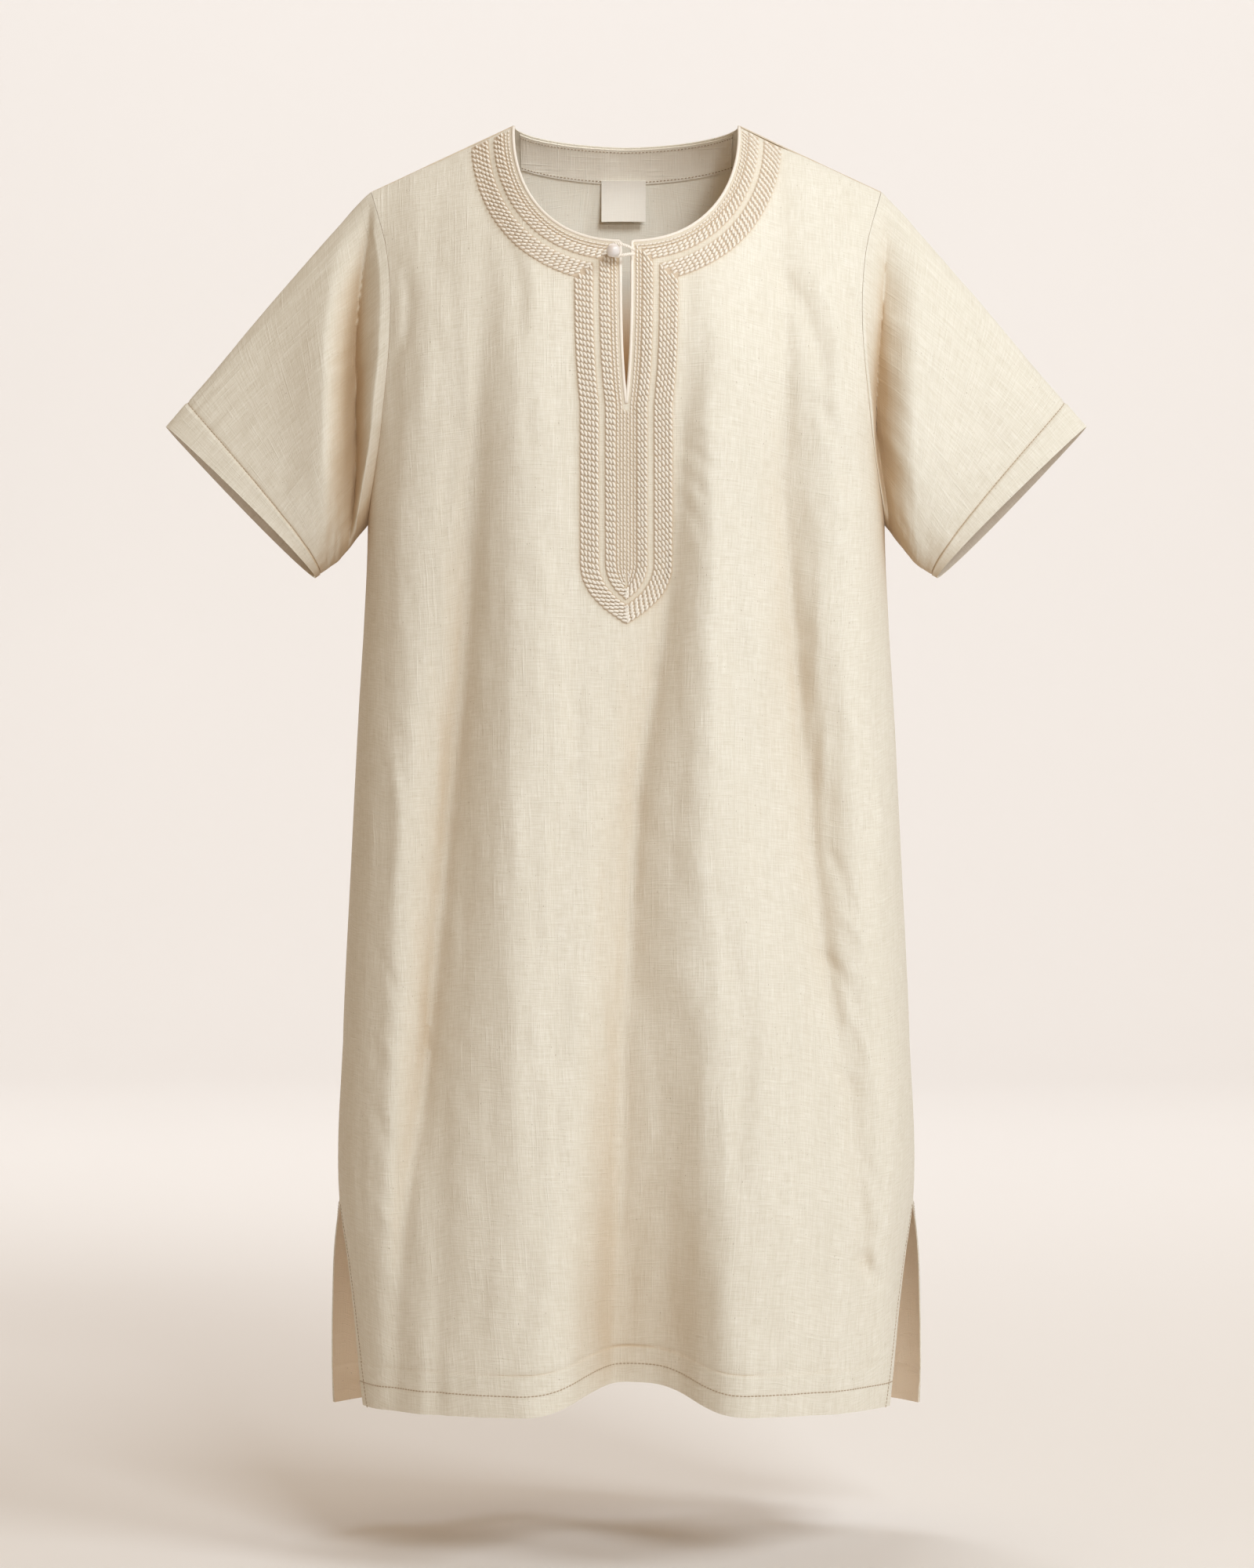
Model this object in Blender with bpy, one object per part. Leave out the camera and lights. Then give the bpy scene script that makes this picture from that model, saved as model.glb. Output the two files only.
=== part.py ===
"""Gandoura: a short-sleeved, knee-length linen tunic, filled out as if worn.

Metres, +Z up, +X to the viewer's right, -Y towards the viewer. The origin lies where the
wearer's shoulders carry the garment, midway between the two shoulder seams.
"""
from collections import namedtuple
from math import pi

import bpy
import numpy as np
from mathutils import Vector
from mathutils.bvhtree import BVHTree

# Cloth and sewing
CLOTH = 0.0012            # thickness of the linen wall
HEM_LAYER = 0.0010        # what the turned-up layer adds inside a hem
SEAM_GAP = 0.0003         # between two pieces that are sewn together
LAID_GAP = 0.0007         # between a panel and what lies on it
HEM_DEPTH = 0.031
SLEEVE_HEM_DEPTH = 0.020
HEM_STEP = 0.0005         # height over which the hem layer ends
HEM_CLEARANCE = 0.012     # other rows stay this far above it

# Shoulders and neck
NECK_HALF = 0.092
NECK_POINT_Z = 0.027
TIP_HALF = 0.208
TIP_Z = -0.027
FRONT_NECK_Z = -0.079
BACK_NECK_Z = 0.019
NECK_ROUNDNESS = 2.3      # exponent of the front neck curve
BACK_NECK_ROUNDNESS = 1.5
SHOULDER_SLOPE = (NECK_POINT_Z - TIP_Z) / (TIP_HALF - NECK_HALF)
FRONT_ROLL, FRONT_ROLL_POWER = 0.200, 1.5     # height over which the front rolls over the shoulder
BACK_ROLL, BACK_ROLL_POWER = 0.110, 2.0

# Front slit, closed at its top by the button and loop
SLIT_HALF = 0.0046
SLIT_END_Z = -0.211
SLIT_TAPER = 3.5

# Body
ROUNDNESS = 2.4           # exponent of each horizontal section
UNDERARM_Z = -0.300
ARMHOLE_SPLIT_Z = -0.130  # armhole height that answers the bottom of the neck
VENT_TOP_Z = -0.850
SIDE_LEAN = 0.14          # how far the section leans out behind the side seam
LEAN_FROM_X, LEAN_OVER_X = 0.13, 0.07
LEAN_FROM_Z, LEAN_OVER_Z = -0.26, 0.12
LEAN_DEPTH = 0.055        # distance behind the seam at which the lean dies away
FRONT_HEM_Z, FRONT_CORNER_Z = -1.002, -1.0065
BACK_HEM_Z = -1.0255

Section = namedtuple("Section", "z front_half back_half side_y front_y back_y")
SECTIONS = (
    Section(-1.040, 0.2235, 0.2690, -0.020, -0.163, 0.150),
    Section(-0.960, 0.2240, 0.2500, -0.020, -0.156, 0.143),
    Section(-0.930, 0.2250, 0.2440, -0.020, -0.153, 0.140),
    Section(-0.895, 0.2275, 0.2385, -0.020, -0.150, 0.137),
    Section(-0.850, 0.2325, 0.2325, -0.020, -0.146, 0.133),
    Section(-0.700, 0.2290, 0.2290, -0.018, -0.135, 0.122),
    Section(-0.570, 0.2230, 0.2230, -0.015, -0.127, 0.110),
    Section(-0.450, 0.2172, 0.2172, -0.013, -0.121, 0.103),
    Section(-0.370, 0.2125, 0.2125, -0.012, -0.119, 0.105),
    Section(-0.290, 0.2100, 0.2100, -0.012, -0.118, 0.110),
    Section(-0.240, 0.2100, 0.2110, -0.011, -0.117, 0.111),
    Section(-0.200, 0.2135, 0.2150, -0.010, -0.115, 0.110),
    Section(-0.150, 0.2205, 0.2215, -0.008, -0.111, 0.106),
    Section(-0.100, 0.2255, 0.2260, -0.006, -0.104, 0.100),
    Section(-0.050, 0.2290, 0.2290, -0.004, -0.100, 0.094),
    Section(0.050, 0.2320, 0.2320, -0.004, -0.100, 0.092),
)

Armhole = namedtuple("Armhole", "z front_x back_x")
ARMHOLE = (
    Armhole(UNDERARM_Z, 0.2100, 0.2100),
    Armhole(-0.262, 0.2024, 0.2036),
    Armhole(-0.227, 0.1968, 0.1988),
    Armhole(-0.195, 0.1932, 0.1960),
    Armhole(-0.160, 0.1900, 0.1932),
    Armhole(-0.120, 0.1895, 0.1928),
    Armhole(-0.077, 0.1940, 0.1965),
    Armhole(TIP_Z, TIP_HALF, TIP_HALF),
)

# Side vents: how far round the section each cut edge stands back from the side seam's line
FRONT_VENT_OPEN, BACK_VENT_OPEN = 0.40, 0.50
FRONT_VENT_POWER, BACK_VENT_POWER = 1.0, 0.7

# Folds: ridges are positive and valleys negative, all measured outwards along Y
Fold = namedtuple("Fold", "name z_top z_bottom x_top x_middle x_bottom "
                          "width_top width_bottom height_top height_middle height_bottom square")
FRONT_FOLDS = (
    Fold("left valley", -0.11, -0.96, -0.092, -0.127, -0.168, 0.020, 0.030, -0.004, -0.013, -0.004, 2),
    Fold("left ridge", -0.25, -0.90, -0.142, -0.168, -0.200, 0.020, 0.026, 0.002, 0.006, 0.003, 2),
    Fold("left centre ridge", -0.28, -1.20, -0.055, -0.050, -0.062, 0.028, 0.036, 0.002, 0.009, 0.010, 2),
    Fold("centre valley", -0.30, -1.10, 0.050, 0.022, 0.007, 0.034, 0.052, -0.004, -0.015, -0.080, 3),
    Fold("right ridge", -0.16, -1.20, 0.108, 0.116, 0.140, 0.028, 0.042, 0.003, 0.009, 0.010, 2),
    Fold("right valley", -0.14, -0.96, 0.142, 0.168, 0.192, 0.018, 0.024, -0.004, -0.010, -0.003, 2),
    Fold("right side ridge", -0.30, -0.95, 0.188, 0.200, 0.212, 0.014, 0.016, 0.002, 0.005, 0.003, 2),
)
BACK_FOLDS = (
    Fold("blade hollow", -0.08, -0.55, 0.000, 0.003, 0.006, 0.040, 0.045, -0.002, -0.007, -0.002, 2),
    Fold("left blade ridge", -0.22, -1.20, -0.078, -0.090, -0.098, 0.034, 0.042, 0.002, 0.008, 0.020, 2),
    Fold("right blade ridge", -0.22, -1.20, 0.070, 0.086, 0.094, 0.034, 0.042, 0.002, 0.009, 0.022, 2),
    Fold("centre flute", -0.50, -1.20, 0.004, -0.004, -0.010, 0.036, 0.044, -0.001, -0.012, -0.034, 2),
    Fold("left flute", -0.40, -1.20, -0.140, -0.156, -0.165, 0.022, 0.030, -0.002, -0.009, -0.018, 2),
    Fold("right flute", -0.36, -1.20, 0.136, 0.150, 0.162, 0.022, 0.030, -0.002, -0.010, -0.020, 2),
)
FADE = 0.12               # share of a fold's length over which it fades in and out

# The hem is lifted where the centre valley meets it, and at the middle of the back
LIFT_HEIGHT = 0.16        # how far up the panel the lift is spread
FRONT_LIFT, FRONT_LIFT_X, FRONT_LIFT_WIDTH = 0.018, 0.007, 0.052
BACK_LIFT, BACK_LIFT_X, BACK_LIFT_WIDTH = 0.011, 0.0, 0.150

# Sleeves, given on the viewer's right
CUFF_TOP = (0.3745, -0.2200)      # x and z of the cuff's outer corner
CUFF_BOTTOM = (0.2535, -0.3420)
CUFF_Y = -0.008
CUFF_DEPTH = 0.026                # half the depth of the cuff's opening
CUFF_EGG = 0.35                   # how much deeper the lower half of the opening is
CUFF_TILT = 0.14                  # how far the opening turns towards the viewer
SLEEVE_STARTS = ((0.85, -0.53), (0.78, -0.62), (0.58, -0.81))  # direction at top, middle, underarm
SLEEVE_PULLS = (0.18, 0.9, 2.2)   # strength of that start at top, middle and underarm
UNDERARM_END = (0.82, -0.57)      # direction in which the underarm line reaches the cuff
SLEEVE_END_PULL = 0.9             # strength with which every line reaches the cuff
SLEEVE_LENGTHS = (0.26, 0.19, 0.085)          # along the top, the middle and the underarm
SLEEVE_MEAN_LENGTH = 0.20
SLEEVE_GRADING = 1.25             # rows are closer together beside the armhole
UNDERARM_SHARE = 0.60             # the lowest part of the armhole begins here, of 0 at the top to 1
UNDERARM_GAP = 0.0006             # the seam's gap there, where the wall turns
UNDERARM_SHIFT = (1.0, 0.0, 0.6)  # direction in which the sleeve's edge stands off the body there
UNDERARM_NORMAL = (0.3, 0.0, -0.95)
SLEEVE_VALLEY_AT = 0.019          # distance of the armhole valley from the seam
SLEEVE_VALLEY_WIDTH = 0.012
SLEEVE_VALLEY_DEPTH = 0.020
SLEEVE_RIDGE_AT = 0.050
SLEEVE_RIDGE_WIDTH = 0.024
SLEEVE_RIDGE_HEIGHT = 0.007
VALLEY_FADES = (0.35, 0.16)       # shares of the armhole over which the valley fades, top and underarm
VALLEY_SEAM_FADE, VALLEY_CUFF_FADE = 0.010, 0.2

# Embroidery: each band runs this far outside the neck and slit edge, down to a pointed arch
OUTER_BAND = (0.0220, 0.0358)
INNER_BAND = (0.0085, 0.0160)
NECK_CLOSENESS = 0.95     # round the neck the bands lie this much nearer to the edge
BAND_RELIEF = 0.0008
ARCH_START_Z = -0.335
ARCH_TIP_Z = -0.3475      # the tip of each line lies its own distance below this
ARCH_SLOPE = 0.643        # steepness of the arch beside its tip
SHOULDER_MARGIN = 0.005   # the bands stop this far below the shoulder seam

# Back neck facing, label, button and loop
FACING_DEPTH = 0.0268
FACING_THICKNESS = 0.0010
FACING_INSET = 0.0024     # its upper edge lies this far below the neck edge
FACING_END_INSET = 0.006  # its ends lie this far inside the neck points
FACING_COLUMNS = 20
LABEL_WIDTH, LABEL_HEIGHT, LABEL_THICKNESS = 0.037, 0.0323, 0.0008
LABEL_CELLS = 4           # across and down
LABEL_X = -0.0023
LABEL_STAND_OFF, LABEL_CURVE = 0.008, 1.5     # how far its lower edge stands off the back
BUTTON_RADIUS = 0.0055
BALL_RINGS, BALL_SIDES = 11, 16
BUTTON_X, BUTTON_Z = -0.0102, -0.0885
SHANK_RADIUS, SHANK_LENGTH = 0.0014, 0.0022
LOOP_RADIUS = 0.0008
LOOP_END_X = 0.0064
LOOP_SPREAD = 0.0018      # half the distance between the strands where they are sewn on
LOOP_RISE = 1.2           # the strands reach the shank's height this much before they meet it
LOOP_STEPS = 7

# Resolution of the solids: rows down each segment, and columns across half a panel
Rows = namedtuple("Rows", "neck slit side vent")
FRONT_ROWS = Rows(8, 7, 13, 5)
BACK_ROWS = Rows(6, 5, 12, 5)
HALF_COLUMNS = 13
SLEEVE_ROWS = 11
BAND_STEPS = (18, 16, 6)  # along the neck, the placket and the arch
SHOULDER_GRADING = 1.5    # rows are closer together where the panels roll over the shoulder
FINE = 241                # samples used to measure a curve before it is divided evenly

COLOURS = {
    "linen": (0.78, 0.71, 0.60),
    "embroidery": (0.80, 0.73, 0.63),
    "facing": (0.74, 0.66, 0.54),
    "label": (0.80, 0.75, 0.64),
    "button": (0.86, 0.83, 0.78),
}


def through(knots, values, at):
    """A smooth curve through the values at the ascending knots, read at the given places."""
    knots = np.asarray(knots, float)
    values = np.asarray(values, float)
    slopes = np.gradient(values, knots)
    at = np.clip(at, knots[0], knots[-1])
    i = np.clip(np.searchsorted(knots, at) - 1, 0, len(knots) - 2)
    step = knots[i + 1] - knots[i]
    u = (at - knots[i]) / step
    return ((2 * u**3 - 3 * u**2 + 1) * values[i] + (u**3 - 2 * u**2 + u) * step * slopes[i]
            + (3 * u**2 - 2 * u**3) * values[i + 1] + (u**3 - u**2) * step * slopes[i + 1])


def column(table, name, z):
    return through([row.z for row in table], [getattr(row, name) for row in table], z)


def smooth_step(u):
    u = np.clip(u, 0.0, 1.0)
    return u * u * (3.0 - 2.0 * u)


def lengths_along(points):
    steps = np.linalg.norm(np.diff(points, axis=0), axis=1)
    return np.concatenate(([0.0], np.cumsum(steps)))


def divided(points, count):
    """The polyline's points, spaced again at equal lengths."""
    length = lengths_along(points)
    wanted = np.linspace(0.0, length[-1], count + 1)
    return np.stack([np.interp(wanted, length, points[:, k]) for k in range(points.shape[1])], axis=1)


# The surface of the front and the back, as a depth over x and z

def shoulder_z(x):
    """Height of the shoulder line, which flattens out smoothly inside the neck."""
    inside = np.maximum(NECK_HALF - np.abs(x), 0.0)
    slope_line = NECK_POINT_Z + SHOULDER_SLOPE * (NECK_HALF - np.abs(x))
    return slope_line - SHOULDER_SLOPE / (2 * NECK_HALF) * inside**2


def roll_over(x, z, height, power):
    q = np.clip((z - (shoulder_z(x) - height)) / height, 0.0, 1.0)
    return (1.0 - q**power) ** (1.0 / power)


def fold_height(folds, x, z):
    total = np.zeros(np.broadcast(x, z).shape)
    for fold in folds:
        down = np.clip((fold.z_top - z) / (fold.z_top - fold.z_bottom), 0.0, 1.0)
        halves = (0.0, 0.5, 1.0)
        centre = through(halves, (fold.x_top, fold.x_middle, fold.x_bottom), down)
        height = through(halves, (fold.height_top, fold.height_middle, fold.height_bottom), down)
        width = fold.width_top + (fold.width_bottom - fold.width_top) * down
        fade = smooth_step(down / FADE) * smooth_step((1.0 - down) / FADE)
        total = total + height * fade * np.exp(-np.abs((x - centre) / width) ** fold.square)
    return total


def round_share(x, half):
    return (1.0 - np.clip(np.abs(x) / half, 0.0, 1.0) ** ROUNDNESS) ** (1.0 / ROUNDNESS)


def front_y(x, z, folded=True):
    side = column(SECTIONS, "side_y", z)
    bulge = (column(SECTIONS, "front_y", z) - side) * round_share(x, column(SECTIONS, "front_half", z))
    y = (side + bulge) * roll_over(x, z, FRONT_ROLL, FRONT_ROLL_POWER) - SEAM_GAP / 2
    return y - fold_height(FRONT_FOLDS, x, z) if folded else y


def back_y(x, z, folded=True):
    side = column(SECTIONS, "side_y", z)
    bulge = (column(SECTIONS, "back_y", z) - side) * round_share(x, column(SECTIONS, "back_half", z))
    y = (side + bulge) * roll_over(x, z, BACK_ROLL, BACK_ROLL_POWER) + SEAM_GAP / 2
    return y + fold_height(BACK_FOLDS, x, z) if folded else y


def leaned(points):
    """The section leans out behind the side seam, so that a strip of the back shows."""
    x, y, z = points[..., 0], points[..., 1], points[..., 2]
    behind = y - column(SECTIONS, "side_y", z)
    share = smooth_step((np.abs(x) - LEAN_FROM_X) / LEAN_OVER_X)
    share = share * smooth_step((LEAN_FROM_Z - z) / LEAN_OVER_Z)
    moved = points.copy()
    moved[..., 0] += np.sign(x) * SIDE_LEAN * behind * share * np.exp(-(behind / LEAN_DEPTH) ** 2)
    return moved


# Edges of the panels in x and z, on the viewer's right

def neck_curve(bottom_z, roundness, end_x=0.0):
    """The neck edge from the neck point down to the given distance from the centre."""
    turn = np.linspace(0.0, pi / 2, FINE)
    x = NECK_HALF * np.cos(turn) ** (2 / roundness)
    z = NECK_POINT_Z - (NECK_POINT_Z - bottom_z) * np.sin(turn) ** (2 / roundness)
    x[-1] = 0.0
    keep = x > end_x
    last_z = np.interp(end_x, x[::-1], z[::-1])
    return np.column_stack((np.append(x[keep], end_x), np.append(z[keep], last_z)))


def slit_half(z):
    down = np.clip((FRONT_NECK_Z - z) / (FRONT_NECK_Z - SLIT_END_Z), 0.0, 1.0)
    return SLIT_HALF * (1.0 - down**SLIT_TAPER)


def vertical(x_of_z, z_from, z_to):
    z = np.linspace(z_from, z_to, FINE)
    return np.column_stack((x_of_z(z), z))


def vent_edge(half_name, hem_z, opening, power):
    def x_of_z(z):
        open_share = opening * ((VENT_TOP_Z - z) / (VENT_TOP_Z - hem_z)) ** power
        return column(SECTIONS, half_name, z) * (1.0 - open_share**ROUNDNESS) ** (1.0 / ROUNDNESS)
    return vertical(x_of_z, VENT_TOP_Z, hem_z)


def evenly(edge, count, surface, grading=1.0):
    """An edge divided into lengths of cloth that are equal, or grow down it with a grading over 1."""
    lifted = np.column_stack((edge[:, 0], surface(edge[:, 0], edge[:, 1], folded=False), edge[:, 1]))
    length = lengths_along(lifted)
    wanted = np.linspace(0.0, 1.0, count + 1) ** grading * length[-1]
    return np.column_stack([np.interp(wanted, length, edge[:, k]) for k in range(2)])


def with_hem_rows(edge, hem_depth):
    """The last segment's edge, with two close rows where the hem layer ends."""
    z_line = edge[-1, 1] + hem_depth
    above = edge[edge[:, 1] > z_line + HEM_CLEARANCE]
    rows = []
    for z in (z_line + HEM_STEP / 2, z_line - HEM_STEP / 2):
        rows.append((np.interp(z, edge[::-1, 1], edge[::-1, 0]), z))
    return np.vstack((above, rows, edge[-1:]))


def panel_edges(which, rows):
    """Matching points down the inner and the outer edge, and the rows where segments end."""
    front = which == "front"
    surface = front_y if front else back_y
    half_name = which + "_half"
    hem_z = FRONT_HEM_Z if front else BACK_HEM_Z
    corner_z = FRONT_CORNER_Z if front else BACK_HEM_Z
    if front:
        neck = neck_curve(FRONT_NECK_Z, NECK_ROUNDNESS, SLIT_HALF)
    else:
        neck = neck_curve(BACK_NECK_Z, BACK_NECK_ROUNDNESS)
    centre_x = slit_half if front else np.zeros_like
    armhole_x = lambda z: column(ARMHOLE, which + "_x", z)
    side_x = lambda z: column(SECTIONS, half_name, z)
    opening = FRONT_VENT_OPEN if front else BACK_VENT_OPEN
    power = FRONT_VENT_POWER if front else BACK_VENT_POWER
    inner = (
        neck,
        vertical(centre_x, neck[-1, 1], SLIT_END_Z),
        vertical(np.zeros_like, SLIT_END_Z, VENT_TOP_Z),
        vertical(np.zeros_like, VENT_TOP_Z, hem_z),
    )
    outer = (
        vertical(armhole_x, TIP_Z, ARMHOLE_SPLIT_Z),
        vertical(armhole_x, ARMHOLE_SPLIT_Z, UNDERARM_Z),
        vertical(side_x, UNDERARM_Z, VENT_TOP_Z),
        vent_edge(half_name, corner_z, opening, power),
    )
    sides = []
    for segments in (inner, outer):
        gradings = (SHOULDER_GRADING, 1.0, 1.0, 1.0)
        parts = [evenly(edge, count, surface, grading)
                 for edge, count, grading in zip(segments, rows, gradings)]
        parts[-1] = with_hem_rows(parts[-1], HEM_DEPTH)
        sides.append(np.vstack([parts[0]] + [part[1:] for part in parts[1:]]))
    return sides[0], sides[1], (rows.neck, rows.neck + rows.slit)


def hem_lift(which, x, z):
    if which == "front":
        size, centre, width, power = FRONT_LIFT, FRONT_LIFT_X, FRONT_LIFT_WIDTH, 3
        hem_z = FRONT_HEM_Z
    else:
        size, centre, width, power = BACK_LIFT, BACK_LIFT_X, BACK_LIFT_WIDTH, 2
        hem_z = BACK_HEM_Z
    near = smooth_step((hem_z + LIFT_HEIGHT - z) / LIFT_HEIGHT)
    return size * near * np.exp(-np.abs((x - centre) / width) ** power)


def half_grid(which, side, rows, columns):
    """Points [row, column] of half a panel, from its inner to its outer edge."""
    surface = front_y if which == "front" else back_y
    inner, outer, _ = panel_edges(which, rows)
    share = np.sin(np.linspace(0.0, pi / 2, FINE))
    grid = []
    for start, end in zip(inner, outer):
        line = start + (end - start) * share[:, None]
        lifted = np.column_stack((line[:, 0], surface(line[:, 0], line[:, 1], folded=False), line[:, 1]))
        length = lengths_along(lifted)
        at = np.interp(np.linspace(0.0, length[-1], columns + 1), length, share)
        at[-1] = 1.0
        x = (start[0] + (end[0] - start[0]) * at) * side
        z = start[1] + (end[1] - start[1]) * at
        z = z + hem_lift(which, x, z)
        grid.append(np.column_stack((x, surface(x, z), z)))
    return leaned(np.array(grid))


# Meshes

Sheet = namedtuple("Sheet", "points faces normals")


def sheet_normals(points, faces):
    """Area-weighted normals at the points of a sheet of quads, and zero where no face meets."""
    corners = points[np.array(faces)]
    across = np.cross(corners[:, 2] - corners[:, 0], corners[:, 3] - corners[:, 1])
    normals = np.zeros_like(points)
    for k in range(4):
        np.add.at(normals, np.array(faces)[:, k], across)
    size = np.linalg.norm(normals, axis=1)
    return normals / np.where(size > 0.0, size, 1.0)[:, None]


def grid_faces(index):
    """Quads over a table of point numbers."""
    faces = []
    for row in range(index.shape[0] - 1):
        for col in range(index.shape[1] - 1):
            faces.append((index[row, col], index[row + 1, col], index[row + 1, col + 1], index[row, col + 1]))
    return faces


def panel_sheet(which, rows, columns):
    """Both halves of a panel, joined down the centre below the neck or the slit."""
    joined_from = panel_edges(which, rows)[2][1 if which == "front" else 0]
    left = half_grid(which, -1, rows, columns)
    right = half_grid(which, 1, rows, columns)
    count = left.shape[0] * left.shape[1]
    left_index = np.arange(count).reshape(left.shape[:2])
    right_index = left_index + count
    right_index[joined_from:, 0] = left_index[joined_from:, 0]
    points = np.vstack((left.reshape(-1, 3), right.reshape(-1, 3)))
    outwards = -1 if which == "front" else 1
    faces = []
    for index, side in ((left_index, -1), (right_index, 1)):
        quads = grid_faces(index)
        faces += quads if side * outwards > 0 else [quad[::-1] for quad in quads]
    normals = sheet_normals(points, faces)
    slope = np.array((SHOULDER_SLOPE, 0.0, 1.0)) / np.hypot(SHOULDER_SLOPE, 1.0)
    seam_rows = slice(joined_row(rows, "underarm"), joined_row(rows, "vent") + 1)
    for index, side in ((left_index, -1), (right_index, 1)):
        normals[index[0, :]] = slope * (side, 1, 1)
        normals[index[seam_rows, -1]] = (side, 0.0, 0.0)
    return Sheet(points, faces, normals), left_index, right_index


def joined_row(rows, place):
    underarm = rows.neck + rows.slit
    return underarm if place == "underarm" else underarm + rows.side


def wall(sheet, thickness):
    """A closed wall: the sheet is its outer face, and the inner face lies inside by the thickness."""
    used = np.unique(np.array(sheet.faces))
    number = {old: new for new, old in enumerate(used)}
    outer = sheet.points[used]
    inner = outer - sheet.normals[used] * np.broadcast_to(thickness, len(sheet.points))[used, None]
    faces = [tuple(number[v] for v in face) for face in sheet.faces]
    count = len(used)
    edges = {}
    for face in faces:
        for a, b in zip(face, face[1:] + face[:1]):
            edges[(a, b)] = edges.get((a, b), 0) + 1
    rim = [(b, a, a + count, b + count) for a, b in edges if (b, a) not in edges]
    points = np.vstack((outer, inner))
    inside = [tuple(v + count for v in face[::-1]) for face in faces]
    return points, split_quads(points, faces + inside + rim)


def split_quads(points, quads):
    """Triangles, with each quad split along its shorter diagonal."""
    triangles = []
    for a, b, c, d in quads:
        if np.linalg.norm(points[a] - points[c]) <= np.linalg.norm(points[b] - points[d]):
            triangles += [(a, b, c), (a, c, d)]
        else:
            triangles += [(a, b, d), (b, c, d)]
    return triangles


def material(name, roughness):
    made = bpy.data.materials.get(name)
    if made is None:
        made = bpy.data.materials.new(name)
        made.use_nodes = True
        shader = made.node_tree.nodes["Principled BSDF"]
        shader.inputs["Base Color"].default_value = (*COLOURS[name], 1.0)
        shader.inputs["Roughness"].default_value = roughness
        shader.inputs["Metallic"].default_value = 0.0
    return made


def add_object(name, points, faces, finish, roughness=0.9):
    mesh = bpy.data.meshes.new(name)
    mesh.from_pydata([tuple(map(float, p)) for p in points], [], [tuple(map(int, f)) for f in faces])
    mesh.validate()
    mesh.shade_smooth()
    mesh.set_sharp_from_angle(angle=0.7)
    mesh.materials.append(material(finish, roughness))
    made = bpy.data.objects.new(name, mesh)
    bpy.context.scene.collection.objects.link(made)
    return made


def add_panel(which, rows):
    """The front or the back, with a doubled hem; gives the object, and its two armhole edges."""
    sheet, left_index, right_index = panel_sheet(which, rows, HALF_COLUMNS)
    in_hem = np.zeros(len(sheet.points))
    for index in (left_index, right_index):
        in_hem[index[-2:]] = 1.0
    made = add_object(which, *wall(sheet, CLOTH + HEM_LAYER * in_hem), "linen")
    edges = {}
    stop = joined_row(rows, "underarm") + 1
    for side, index in ((-1, left_index), (1, right_index)):
        numbers = index[:stop, -1]
        inward = index[:stop, -2]
        edges[side] = (sheet.points[numbers], sheet.normals[numbers],
                       sheet.points[numbers] - sheet.points[inward])
    return made, edges


# Sleeves

def armhole_ring(front_edge, back_edge):
    """The closed armhole, from the shoulder tip down the front and up the back."""
    points = np.vstack((front_edge[0], back_edge[0][-2:0:-1]))
    normals = np.vstack((front_edge[1], back_edge[1][-2:0:-1]))
    away = np.vstack((front_edge[2], back_edge[2][-2:0:-1]))
    turns = []
    for edge, start, end in ((front_edge, 0.0, pi), (back_edge, 2 * pi, pi)):
        length = lengths_along(edge[0])
        turns.append(start + (end - start) * length / length[-1])
    turn = np.concatenate((turns[0], turns[1][-2:0:-1]))
    bottom = len(front_edge[0]) - 1
    points[0] = (front_edge[0][0] + back_edge[0][0]) / 2
    points[bottom] = (front_edge[0][-1] + back_edge[0][-1]) / 2
    away[0] = (front_edge[2][0] + back_edge[2][0]) / 2
    return points, normals, away, turn


def cuff_ring(side, turn):
    top, bottom = np.array(CUFF_TOP), np.array(CUFF_BOTTOM)
    centre, reach = (top + bottom) / 2, (top - bottom) / 2
    depth = -CUFF_DEPTH * np.sin(turn) * (1.0 - CUFF_EGG * np.cos(turn))
    line = centre + reach * np.cos(turn)[:, None]
    along = top - np.array((TIP_HALF, TIP_Z))
    along = along / np.linalg.norm(along)
    line = line + along * (CUFF_TILT * depth)[:, None]
    return np.column_stack((line[:, 0] * side, CUFF_Y + depth, line[:, 1]))


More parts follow.
